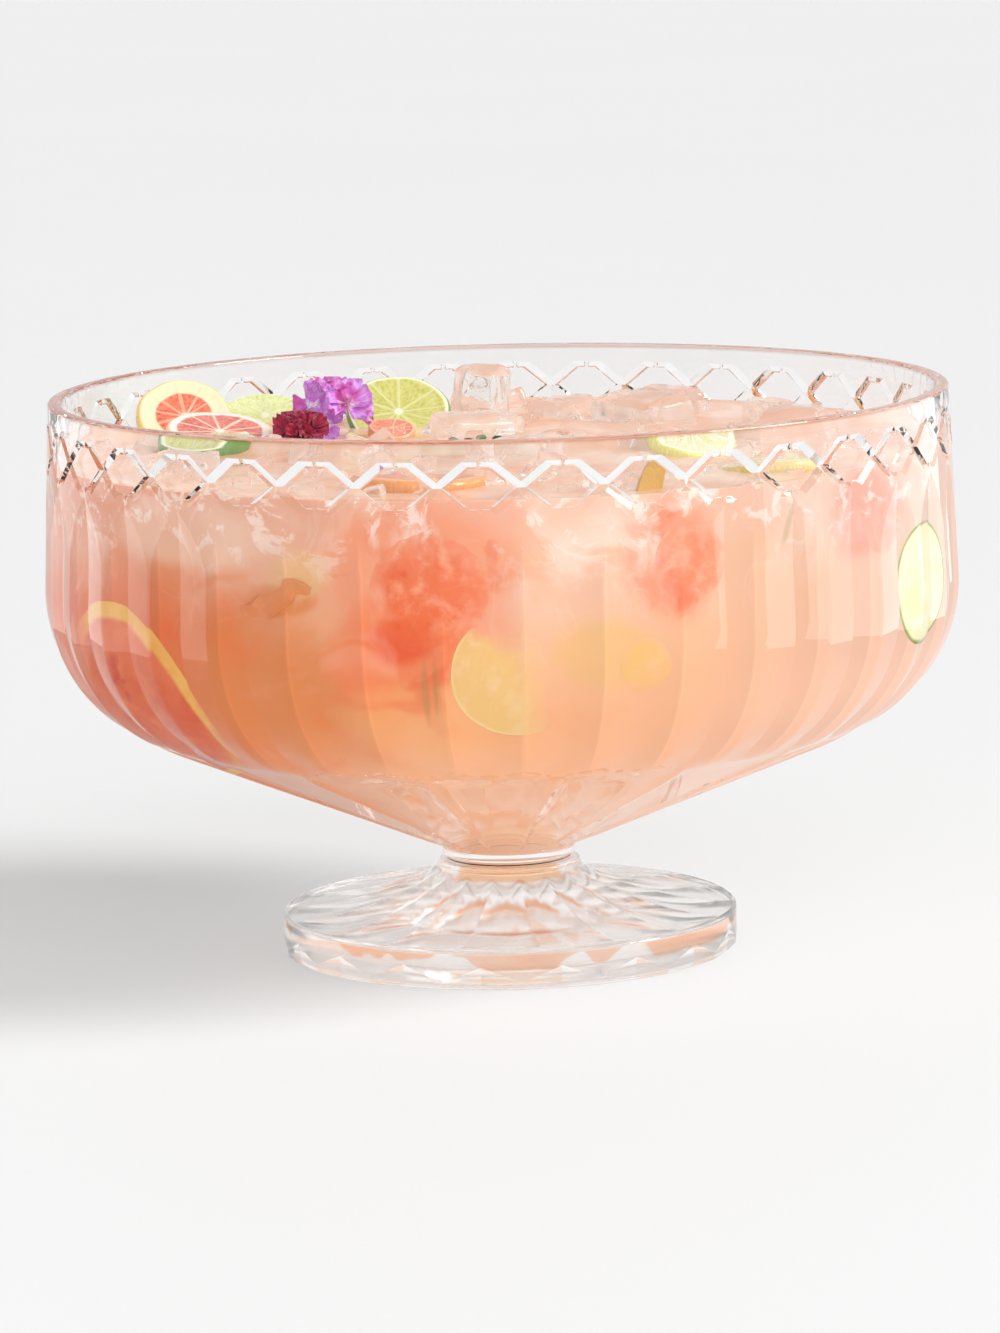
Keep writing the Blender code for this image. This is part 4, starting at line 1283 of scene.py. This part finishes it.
slice_wall("grapefruit_slice_left",
           hazy_material("left", (222, 102, 50), (212, 80, 32), (232, 124, 66), 0.14, rim=(232, 168, 54), rim2=(238, 186, 92),
                         rim_at=0.835, seg=0.10, spots=(200, 48, 22), fade=((-1.0, 0.0, 0.30, 0.80), (0.80, -0.60, 0.62, 1.0))),
           -57.5, 106, 0.042, 0.005, 0)
slice_wall("grapefruit_slice_front",
           hazy_material("front", (240, 128, 76), (236, 100, 40), (246, 168, 128), 0.20, soft=0.34, spots=(224, 66, 8)),
           -9, 155, 0.029, 0.005, 50, out=0.00026, sink=0.55)
slice_wall("lemon_slice_front",
           hazy_material("lemon_front", (238, 196, 128), (236, 190, 114), (242, 206, 148), 0.14, rim=(246, 216, 150),
                         rim2=(248, 214, 138), rim_at=0.955, seg=0.08,
                         fade=((1.0, 0.05, -0.15, 0.46), (0.35, 0.94, 0.22, 0.58))),
           1.5, 127, 0.023, 0.0042, 0, out=0.00034, dip=((1.0, 0.05, 0.30, 0.72), (0.35, 0.94, 0.40, 0.80)))
slice_wall("lemon_slice_low",
           hazy_material("lemon_low", (236, 190, 104), (232, 182, 86), (240, 200, 132), 0.52, soft=0.18), 17.5, 128, 0.014, 0.0042, 30,
           sink=0.50)
slice_wall("grapefruit_slice_right",
           hazy_material("right", (249, 144, 106), (246, 118, 78), (252, 176, 146), 0.20, soft=0.36), 23.5, 162.5, 0.0185, 0.005, 70,
           sink=0.55)
slice_wall("lime_slice_right",
           hazy_material("lime_right", (224, 214, 166), (218, 208, 148), (230, 224, 188), 0.0, rim=(112, 132, 40), rim2=(140, 154, 60),
                         rim_at=0.925, seg=0.35, n_seg=10), 66.5, 142.5, 0.022, 0.0045, 40)
slice_wall("grapefruit_wedge_right",
           hazy_material("wedge_right", (238, 146, 122), (236, 132, 106), (242, 172, 150), 0.30, soft=0.30), 55.5, 166, 0.0145, 0.005, 0,
           sink=0.55)
slice_wall("lemon_slice_far_right", wall_mat("lemon_fr", "lemon", 0.2, 0.44, soft=0.80), 104, 124, 0.024, 0.0042, 15)
slice_wall("lime_slice_far", wall_mat("lime_far", "lime", 1.2, 0.36), 141, 154, 0.021, 0.0045, 25)
slice_wall("orange_slice_far", wall_mat("orange_far", "orange", 0.8, 0.42), 173, 134, 0.030, 0.005, 45)
slice_wall("grapefruit_slice_far", wall_mat("gf_far", "grapefruit", 2.7, 0.42), -146, 145, 0.032, 0.005, 65)
slice_wall("lemon_slice_far_left", wall_mat("lemon_fl", "lemon", 1.6, 0.44, soft=0.80), -104, 150, 0.023, 0.0042, 80)

# ---- floating slices
m_gf = citrus_material("fruit_grapefruit", "grapefruit", 0.0, r1=0.60, r2=0.93, pith=(253, 230, 190), mem=(250, 176, 140),
                       peel=(248, 200, 118))
m_gf2 = citrus_material("fruit_grapefruit_pale", "grapefruit", 1.1, a=(226, 92, 74), b=(206, 58, 46), c=(244, 150, 128),
                        pith=(254, 238, 222), peel=(250, 212, 160))
m_gf3 = citrus_material("fruit_grapefruit_wet", "grapefruit", 0.0, a=(236, 96, 52), b=(222, 66, 26), c=(246, 150, 104),
                        pith=(246, 182, 130), mem=(246, 170, 124), peel=(240, 146, 70))
m_lime = citrus_material("fruit_lime", "lime", 0.5, peel=(98, 132, 44))
m_lime2 = citrus_material("fruit_lime_pale", "lime", 1.4, a=(222, 228, 150), b=(200, 212, 110), c=(240, 242, 196))
m_lemon = citrus_material("fruit_lemon", "lemon", 0.7, a=(252, 240, 180), b=(248, 228, 140), c=(255, 250, 220),
                          peel=(246, 224, 130))
m_lime3 = citrus_material("fruit_lime_wet", "lime", 0.5, a=(244, 216, 150), b=(238, 204, 130), c=(250, 232, 190), mem=(250, 230, 190),
                          pith=(248, 226, 190), peel=(226, 190, 110))
m_orange = citrus_material("fruit_orange", "orange", 0.2, a=(240, 132, 92), b=(232, 110, 66), c=(246, 160, 124), mem=(246, 176, 140),
                           pith=(248, 190, 160), peel=(240, 150, 90))
for nm, kind, mt, bd, rad, th, at, nor, spin, ph in (
        ("lime_slice_standing", "lime", m_lime, "lime_slice_standing", .020, .0045, (-.038, .078, .190), (.05, -.65, .76), 10, 0.5),
        ("grapefruit_slice_standing", "grapefruit", m_gf, "grapefruit_slice_standing", .0185, .005, (-.119, .066, .1915),
         (.20, -.69, .69), 30, 0.0),
        ("grapefruit_slice_flat", "grapefruit", m_gf2, "contents", .0200, .005, (-.104, .030, .189), (.10, -.28, .95), 12, 1.1),
        ("lime_slice_behind", "lime", m_lime2, "contents", .018, .0045, (-.090, .102, .1865), (.08, -.42, .90), 50, 1.4),
        ("orange_slice_small", "orange", m_orange, "contents", .009, .004, (-.040, .040, .188), (.10, -.30, .95), 0, 0.2),
        ("lime_slice_flat", "lime", m_lime, "lime_slice_flat", .019, .0045, (-.106, -.017, .1895), (-.05, -.14, 1), 20, 0.5),
        ("lemon_slice_right", "lemon", m_lemon, "contents", .0165, .0042, (.069, -.044, .1885), (.10, -.22, .97), 40, 0.7),
        ("lemon_slice_left", "lemon", m_lemon, "contents", .017, .0042, (-.060, -.008, .1875), (.05, .10, 1), 5, 0.7),
        ("grapefruit_slice_near", "grapefruit", m_gf3, "contents", .024, .005, (-.028, -.112, .1862), (.03, .10, 1), 25, 0.0),
        ("lime_slice_near", "lime", m_lime3, "contents", .018, .0045, (.095, -.087, .1858), (-.08, .10, 1), 75, 0.5)):
    slice_disc(nm, kind, mt, bd, rad, th, at, nor, spin, ph)


# ============================================================================ ice
def ice_material():
    g = G("ice_clear")
    o = g.coords("Object")
    crack = g.voronoi(g.vmath('ADD', o, g.vmath('SCALE', g.noise_vec(o, 40.0, 2.0), scale=0.02)), 70.0, 'DISTANCE_TO_EDGE')
    frost = g.math('MULTIPLY', g.range(crack, 0.06, 0.0), g.range(g.noise(o, 55.0, 3.0, 0.6), 0.45, 0.62))
    rough = g.range(g.noise(o, 120.0, 3.0, 0.6), 0.35, 0.75, 0.02, 0.16)
    col = g.mix(frost, (0.995, 0.950, 0.925), (1.0, 0.99, 0.98))
    p = g.principled(Base_Color=col, Roughness=rough, IOR=1.31, Transmission_Weight=0.88,
                     Normal=g.bump(g.noise(o, 150.0, 3.0, 0.55), 0.30, 0.0008))
    lp = g.node("ShaderNodeLightPath")
    for ray in ("Is Shadow Ray", "Is Diffuse Ray"):
        tr = g.node("ShaderNodeBsdfTransparent")
        tr.inputs[0].default_value = (0.95, 0.94, 0.93, 1)
        mx = g.node("ShaderNodeMixShader")
        g.t.links.new(lp.outputs[ray], mx.inputs[0])
        g.t.links.new(p, mx.inputs[1])
        g.t.links.new(tr.outputs[0], mx.inputs[2])
        p = mx.outputs[0]
    return g.done(p)


m_ice = ice_material()


def ice_bm(size, seed, cuts=2, rough=0.07):
    """One melting lump: a block with worn edges and uneven faces."""
    rng = random.Random(seed)
    bm = bmesh.new()
    bmesh.ops.create_cube(bm, size=1.0)
    for v in bm.verts:
        v.co = Vector((v.co.x * size[0] * rng.uniform(0.80, 1.0), v.co.y * size[1] * rng.uniform(0.80, 1.0),
                       v.co.z * size[2] * rng.uniform(0.86, 1.0)))
    bmesh.ops.bevel(bm, geom=bm.edges[:] + bm.verts[:], offset=min(size) * 0.20, segments=3, profile=0.6, affect='EDGES')
    bmesh.ops.subdivide_edges(bm, edges=bm.edges[:], cuts=cuts, use_grid_fill=True)
    for _ in range(3):
        bmesh.ops.smooth_vert(bm, verts=bm.verts, factor=0.4, use_axis_x=True, use_axis_y=True, use_axis_z=True)
    off = Vector((rng.uniform(0, 90), rng.uniform(0, 90), rng.uniform(0, 90)))
    bm.normal_update()
    amp = min(size) * rough
    moves = []
    for v in bm.verts:
        q = v.co * 95.0 + off
        moves.append(v.normal * amp * (mnoise.noise(q) * 0.9 + mnoise.noise(q * 2.7) * 0.35))
    for v, m in zip(bm.verts, moves):
        v.co += m
        for i in range(3):
            v.co[i] = min(max(v.co[i], -size[i] / 2), size[i] / 2)
    return bm


def place(bm, at, normal, turn):
    q = Vector(normal).normalized().to_track_quat('Z', 'Y')
    m = Matrix.Translation(Vector(at)) @ q.to_matrix().to_4x4() @ Matrix.Rotation(math.radians(turn), 4, 'Z')
    bmesh.ops.transform(bm, matrix=m, verts=bm.verts)


for i, (nm, bd, size, at, nor, turn) in enumerate((
        ("ice_tall", "ice_tall", (.021, .021, .030), (-.007, .113, .1905), (.06, -.05, 1), 14),
        ("ice_middle", "contents", (.038, .024, .026), (-.008, .047, .1815), (.05, -.08, 1), 6),
        ("ice_right", "ice_right", (.040, .029, .034), (.056, .066, .1815), (-.08, -.10, 1), -12),
        ("ice_far_right", "contents", (.026, .023, .026), (.104, .084, .180), (.10, -.06, 1), 25),
        ("ice_back", "contents", (.028, .024, .028), (.025, .108, .179), (-.05, .08, 1), 30),
        ("ice_back_right", "contents", (.027, .022, .026), (.067, .116, .182), (.08, .04, 1), -8),
        ("ice_centre_right", "contents", (.034, .027, .028), (.037, .006, .182), (.05, .05, 1), 40),
        ("ice_side_right", "contents", (.031, .026, .028), (.110, .026, .1825), (-.06, .03, 1), 18),
        ("ice_near_left", "contents", (.034, .028, .028), (-.058, -.060, .182), (.04, .08, 1), -20),
        ("ice_near", "contents", (.036, .029, .030), (.006, -.062, .1825), (-.06, .05, 1), 9),
        ("ice_side_left", "contents", (.029, .025, .026), (-.112, -.074, .1815), (.06, .05, 1), 33))):
    bm = ice_bm(size, 100 + i, cuts=2)
    place(bm, at, nor, turn)
    finish_mesh(nm + "_lump", bm, m_ice, bd, nm, sharp=40)


# crushed ice between the lumps, and along the wall at the waterline
rng = random.Random(41)
chips = bmesh.new()
spots = []
for k in range(420):
    a = rng.uniform(0, 2 * math.pi)
    r = 0.150 * math.sqrt(rng.uniform(0.0, 1.0)) if k < 300 else rng.uniform(0.143, 0.1525)
    x, y = r * math.sin(a), -r * math.cos(a)
    sz = rng.uniform(0.006, 0.013) if k < 300 else rng.uniform(0.004, 0.008)
    if any(math.hypot(x - q[0], y - q[1]) < (sz + q[2]) * 0.52 for q in spots):
        continue
    if math.hypot(x + .062, y - .046) < 0.017 or r + sz * 0.75 > 0.1572:
        continue
    spots.append((x, y, sz))
    if len(spots) > 150:
        break
for k, (x, y, sz) in enumerate(spots):
    b = ice_bm((sz, sz * rng.uniform(0.65, 1.0), sz * rng.uniform(0.5, 0.8)), 500 + k, cuts=1, rough=0.10)
    place(b, (x, y, LEVEL + sz * rng.uniform(-0.10, 0.16)), (rng.uniform(-.6, .6), rng.uniform(-.6, .6), 1), rng.uniform(0, 360))
    tmp = bpy.data.meshes.new("chip")
    b.to_mesh(tmp)
    b.free()
    chips.from_mesh(tmp)
    bpy.data.meshes.remove(tmp)
finish_mesh("ice_chips", chips, m_ice, "contents", None, sharp=40)


# ============================================================================ flowers
def petal_material(name, base, tip, heart, veins, other=None):
    g = G(name)
    uv = g.coords("UV")
    u, v, _ = g.xyz(uv)
    n = g.noise(uv, 5.0, 3.0)
    t = g.math('ADD', v, g.math('MULTIPLY', g.math('SUBTRACT', n, 0.5), 0.35))
    col = g.ramp(t, [(0.0, lin(*heart)), (0.16, lin(*heart)), (0.34, lin(*base)), (0.75, lin(*tip)), (1.0, lin(*base))])
    if other:
        o = g.coords("Object")
        col = g.mix(g.range(g.noise(o, 95.0, 1.0), 0.46, 0.60, 0.0, 0.85), col, lin(*other))
    fan = g.math('SINE', g.math('MULTIPLY', g.math('DIVIDE', g.math('SUBTRACT', u, 0.5), g.math('ADD', v, 0.25)), 46.0))
    vein = g.range(g.math('ADD', fan, g.math('MULTIPLY', g.math('SUBTRACT', n, 0.5), 0.8)), 0.55, 0.95)
    col = g.mix(g.math('MULTIPLY', vein, 0.40), col, lin(*veins))
    # painted light: the petals glow faintly in their own colour
    return g.done(g.principled(Base_Color=col, Roughness=0.55, Sheen_Weight=0.25, Subsurface_Weight=0.2,
                               Subsurface_Radius=(0.002, 0.0012, 0.002), Subsurface_Scale=1.0,
                               Emission_Color=col, Emission_Strength=0.10,
                               Normal=g.bump(vein, 0.35, 0.0003)))


m_violet = petal_material("petal_violet", (202, 112, 208), (226, 170, 236), (252, 238, 246), (178, 74, 186), (206, 62, 150))
m_crimson = petal_material("petal_crimson", (150, 20, 52), (186, 36, 66), (120, 8, 36), (96, 4, 24))


def petal(verts, faces, uv, base, out, up, length, width, cup, ruffle, ph, thick=0.00035):
    """One petal as a thin closed leaf, wavy at its edge."""
    out, up = Vector(out).normalized(), Vector(up).normalized()
    side = out.cross(up).normalized()
    up = side.cross(out).normalized()
    NU, NV = 10, 10
    b0 = len(verts)
    for face in (1, -1):
        for j in range(NV + 1):
            v = j / NV
            wid = width * (0.16 + 0.84 * math.sin(min(v * 1.12, 1.0) * math.pi / 2) ** 1.1) * (1 - 0.30 * smooth(0.80, 1.0, v))
            for i in range(NU + 1):
                u = i / NU * 2 - 1
                edge = abs(u) ** 2 * 0.6 + v ** 2
                lift = cup * length * (v ** 2) + 0.22 * width * u * u * (1 - 0.5 * v)
                lift += ruffle * length * edge * math.sin(7.0 * u + 5.0 * v + ph)
                tip = length * v * (1 - 0.10 * u * u * smooth(0.5, 1.0, v)) + 0.03 * length * math.sin(6 * u + ph) * v * v
                p = Vector(base) + out * tip + side * (u * wid * 0.5) + up * (lift + face * thick / 2)
                verts.append(p)
                uv.append((0.5 + 0.5 * u * wid / width, v))
    n = (NU + 1) * (NV + 1)

    def idx(f, i, j):
        return b0 + f * n + j * (NU + 1) + i
    for j in range(NV):
        for i in range(NU):
            faces.append([idx(0, i, j), idx(0, i + 1, j), idx(0, i + 1, j + 1), idx(0, i, j + 1)])
            faces.append([idx(1, i, j), idx(1, i, j + 1), idx(1, i + 1, j + 1), idx(1, i + 1, j)])
    for i in range(NU):
        faces.append([idx(0, i, 0), idx(1, i, 0), idx(1, i + 1, 0), idx(0, i + 1, 0)])
        faces.append([idx(0, i, NV), idx(0, i + 1, NV), idx(1, i + 1, NV), idx(1, i, NV)])
    for j in range(NV):
        faces.append([idx(0, 0, j), idx(0, 0, j + 1), idx(1, 0, j + 1), idx(1, 0, j)])
        faces.append([idx(0, NU, j), idx(1, NU, j), idx(1, NU, j + 1), idx(0, NU, j + 1)])


def floret(verts, faces, uv, at, axis, count, length, width, cup, ruffle, rng, open_=0.9):
    axis = Vector(axis).normalized()
    a0 = axis.orthogonal().normalized()
    for k in range(count):
        ang = 2 * math.pi * (k + rng.uniform(-0.18, 0.18)) / count
        d = Matrix.Rotation(ang, 3, axis) @ a0
        out = d * open_ + axis * rng.uniform(0.15, 0.50)
        petal(verts, faces, uv, Vector(at) + d * 0.0006, out, axis - d * 0.2, length * rng.uniform(0.85, 1.1),
              width * rng.uniform(0.85, 1.1), cup, ruffle, rng.uniform(0, 6))


def clamp_to(verts, centre, half):
    for v in verts:
        for i in range(3):
            v[i] = min(max(v[i], centre[i] - half[i]), centre[i] + half[i])


rng = random.Random(7)
V, F, U = [], [], []
for at, ax, n, L, W, cnt in (((-.0690, .0430, .1960), (-.45, -.75, .55), 5, .0104, .0108, 0),
                             ((-.0570, .0420, .1985), (.35, -.70, .65), 5, .0106, .0112, 1),
                             ((-.0625, .0480, .2020), (-.05, -.25, .97), 5, .0096, .0102, 2),
                             ((-.0530, .0500, .1945), (.75, -.30, .55), 4, .0090, .0098, 3),
                             ((-.0650, .0380, .1915), (-.10, -.90, .30), 4, .0084, .0092, 4),
                             ((-.0725, .0500, .1925), (-.80, -.10, .55), 4, .0088, .0094, 5)):
    floret(V, F, U, at, ax, n, L, W, 0.18, 0.10, rng)
clamp_to(V, (-.062, .046, .1967), (.0150, .0138, .0112))
make("flower_violet_petals", V, F, m_violet, "flower_violet", "flower_violet", uv=U)
V, F, U = [], [], []
for at, ax, n, L, W in (((-.0775, .0245, .1905), (-.35, -.65, .65), 6, .0074, .0062), ((-.0700, .0240, .1915), (.30, -.75, .6), 6, .0076, .0064),
                        ((-.0735, .0270, .1940), (0, -.40, .92), 6, .0070, .0062), ((-.0735, .0215, .1895), (0, -.9, .4), 5, .0060, .0056)):
    floret(V, F, U, at, ax, n, L, W, 0.25, 0.12, rng)
clamp_to(V, (-.0735, .026, .1915), (.0105, .0094, .0066))
make("flower_crimson_petals", V, F, m_crimson, "contents", "flower_crimson", uv=U)


# ============================================================================ herbs
def herb_material():
    g = G("herb_leaf")
    uv = g.coords("UV")
    u, v, _ = g.xyz(uv)
    n = g.noise(uv, 6.0, 3.0)
    mid = g.range(g.math('ABSOLUTE', g.math('SUBTRACT', u, 0.5)), 0.10, 0.02)
    col = g.mix(g.range(n, 0.3, 0.7), lin(46, 74, 22), lin(86, 122, 40))
    col = g.mix(g.math('MULTIPLY', mid, 0.6), col, lin(142, 168, 84))
    return g.done(g.principled(Base_Color=col, Roughness=0.40, Coat_Weight=0.25, Coat_Roughness=0.1,
                               Normal=g.bump(n, 0.4, 0.0004)))


m_herb = herb_material()


def tube(verts, faces, uv, pts, rad, n=8):
    b0 = len(verts)
    for k, p in enumerate(pts):
        t = (pts[min(k + 1, len(pts) - 1)] - pts[max(k - 1, 0)]).normalized()
        a = t.orthogonal().normalized()
        b = t.cross(a)
        r = rad * (1 - 0.5 * k / (len(pts) - 1))
        for i in range(n):
            w = 2 * math.pi * i / n
            verts.append(p + (a * math.cos(w) + b * math.sin(w)) * r)
            uv.append((0.5, k / (len(pts) - 1)))
    for k in range(len(pts) - 1):
        for i in range(n):
            j = (i + 1) % n
            faces.append([b0 + k * n + i, b0 + k * n + j, b0 + (k + 1) * n + j, b0 + (k + 1) * n + i])
    faces.append([b0 + i for i in range(n)][::-1])
    faces.append([b0 + (len(pts) - 1) * n + i for i in range(n)])


def leaf(verts, faces, uv, base, out, up, length, width, thick=0.0004):
    out, up = Vector(out).normalized(), Vector(up).normalized()
    side = out.cross(up).normalized()
    NU, NV = 6, 8
    b0 = len(verts)
    for face in (1, -1):
        for j in range(NV + 1):
            v = j / NV
            wid = max(width * math.sin(math.pi * min(v * 0.94 + 0.05, 1.0)) ** 0.8, 0.0002)
            for i in range(NU + 1):
                u = i / NU * 2 - 1
                p = Vector(base) + out * (length * v) + side * (u * wid / 2) + up * (
                    0.18 * wid * u * u - 0.15 * length * v * v + face * thick / 2)
                verts.append(p)
                uv.append((0.5 + 0.5 * u, v))
    n = (NU + 1) * (NV + 1)

    def idx(f, i, j):
        return b0 + f * n + j * (NU + 1) + i
    for j in range(NV):
        for i in range(NU):
            faces.append([idx(0, i, j), idx(0, i + 1, j), idx(0, i + 1, j + 1), idx(0, i, j + 1)])
            faces.append([idx(1, i, j), idx(1, i, j + 1), idx(1, i + 1, j + 1), idx(1, i + 1, j)])
    for i in range(NU):
        faces.append([idx(0, i, 0), idx(1, i, 0), idx(1, i + 1, 0), idx(0, i + 1, 0)])
        faces.append([idx(0, i, NV), idx(0, i + 1, NV), idx(1, i + 1, NV), idx(1, i, NV)])
    for j in range(NV):
        faces.append([idx(0, 0, j), idx(0, 0, j + 1), idx(1, 0, j + 1), idx(1, 0, j)])
        faces.append([idx(0, NU, j), idx(1, NU, j), idx(1, NU, j + 1), idx(0, NU, j + 1)])


def sprig(name, at, half, turn, pairs, seed):
    rng = random.Random(seed)
    V, F, U = [], [], []
    hx = half[0]
    pts = [Vector((-hx * 0.98 + 1.7 * hx * i / 10.0, 0.25 * half[1] * math.sin(i * 0.5), 0.0002 * math.sin(i))) for i in range(11)]
    tube(V, F, U, pts, 0.0008)
    for k in range(pairs):
        p = pts[4 + int(6 * k / max(pairs - 1, 1))]
        for sgn in (1, -1):
            d = Vector((0.85, sgn * rng.uniform(0.35, 0.7), rng.uniform(-0.1, 0.5)))
            leaf(V, F, U, p, d, (0.1 * sgn, -0.75, 0.65), half[1] * rng.uniform(1.0, 1.35), half[1] * rng.uniform(0.55, 0.75))
    clamp_to(V, (0, 0, 0), (half[0] * 1.02, half[1] * 1.1, half[2] * 1.05))
    m = Matrix.Translation(Vector(at)) @ Matrix.Rotation(math.radians(turn), 4, 'Z')
    make(name + "_leaves", [m @ v for v in V], F, m_herb, "contents", name, uv=U)


sprig("herb_sprig_front", (-.014, -.011, .1894), (.015, .0045, .0022), 8, 4, 3)
sprig("herb_sprig_right", (.080, -.014, .1894), (.010, .004, .0022), -20, 3, 4)
sprig("herb_sprig_back", (.062, .0925, .1894), (.011, .004, .0022), 10, 3, 5)


# ============================================================================ peel
def peel_material(name, outer, inner, haze=0.0):
    g = G(name)
    uv = g.coords("UV")
    u, v, _ = g.xyz(uv)
    o = g.coords("Object")
    pores = g.voronoi(o, 900.0, 'F1')
    n = g.noise(o, 160.0, 3.0, 0.6)
    skin = g.mix(g.range(n, 0.3, 0.7), lin(*outer), lin(*[min(255, int(c * 1.08)) for c in outer]))
    col = g.mix(g.range(v, 0.45, 0.60), skin, lin(*inner))
    if haze:
        col = g.mix(g.math('ADD', g.math('MULTIPLY', g.math('SUBTRACT', g.noise(o, 60.0, 3.0), 0.5), 0.9), haze, clamp=True),
                    col, punch_colour(g, o))
    # painted light: the peel glows faintly in its own colour
    return g.done(g.principled(Base_Color=col, Roughness=0.30, Coat_Weight=0.3, Coat_Roughness=0.1, Subsurface_Weight=0.15,
                               Subsurface_Radius=(0.003, 0.0015, 0.0008), Subsurface_Scale=1.0,
                               Emission_Color=col, Emission_Strength=0.05,
                               Normal=g.bump(pores, 0.35, 0.0004)))


def strip(name, node, pts, normals, width, thick, mat, body, taper=0.35):
    """A strip of cut peel along points, with its skin on the normal side."""
    V, F, U = [], [], []
    n = len(pts)
    ring = []
    for k in range(n):
        t = (pts[min(k + 1, n - 1)] - pts[max(k - 1, 0)]).normalized()
        nor = Vector(normals[k]).normalized()
        side = t.cross(nor).normalized()
        nor = side.cross(t).normalized()
        f = k / (n - 1)
        w = width * (taper + (1 - taper) * math.sin(math.pi * min(max(f, 0.02), 0.98)) ** 0.6) / 2
        h = thick / 2
        sec = []
        for a, b, v in ((-1, 0.55, 0.2), (-0.92, 1, 0.0), (-0.5, 1.06, 0.0), (0, 1.1, 0.0), (0.5, 1.06, 0.0), (0.92, 1, 0.0), (1, 0.55, 0.2),
                        (1, -0.55, 0.8), (0.92, -1, 1.0), (0.5, -0.94, 1.0), (0, -0.9, 1.0), (-0.5, -0.94, 1.0), (-0.92, -1, 1.0),
                        (-1, -0.55, 0.8)):
            V.append(pts[k] + side * (a * w) + nor * (b * h))
            U.append((f, v))
            sec.append(len(V) - 1)
        ring.append(sec)
    m = len(ring[0])
    for a, b in zip(ring[:-1], ring[1:]):
        for i in range(m):
            j = (i + 1) % m
            F.append([a[i], a[j], b[j], b[i]])
    F.append(ring[0][::-1])
    F.append(ring[-1])
    return make(name, V, F, mat, body, node, sharp=50, uv=U)


# standing peel near the front
pts, nors = [], []
base = Vector((.051, -.134, .1865))
ax = Vector((.34, .30, 1)).normalized()
tn = math.radians(17)
face = Vector((math.sin(tn) * 0.3 + 0.2, -1, 0.25)).normalized()
for k in range(15):
    f = k / 14.0 * 2 - 1
    pts.append(base + ax * (0.0112 * f) + face * (0.0016 * (f * f) - 0.0006))
    nors.append(face + ax * (-0.5 * f))
strip("orange_peel_upright_strip", "orange_peel_upright", pts, nors, 0.0085, 0.0030,
      peel_material("peel_upright", (206, 150, 42), (248, 214, 150)), "contents")
# twisted peel against the glass
pts, nors = [], []
s_tw = INNER.at_z(0.1515)
for k in range(25):
    f = k / 24.0 * 2 - 1
    x = 0.0138 * f
    y = 0.0045 * f + 0.0020 * math.sin(math.pi * f * 1.1)
    r, z, nr, nz = INNER.at(s_tw - y)
    th = -29.0 + math.degrees(x / r)
    tw = 0.5 * math.sin(1.6 * math.pi * (f + 0.2))
    d = -0.0007
    pts.append(polar(th, r + nr * d, z + nz * d))
    nv = polar(th, 1.0, 0.0)
    nors.append(Vector((nv.x, nv.y, tw * 0.8)))
strip("orange_peel_twist_strip", "orange_peel_twist", pts, nors, 0.0098, 0.0026,
      peel_material("peel_twist", (212, 112, 30), (236, 158, 84), haze=0.34), "contents", taper=0.08)
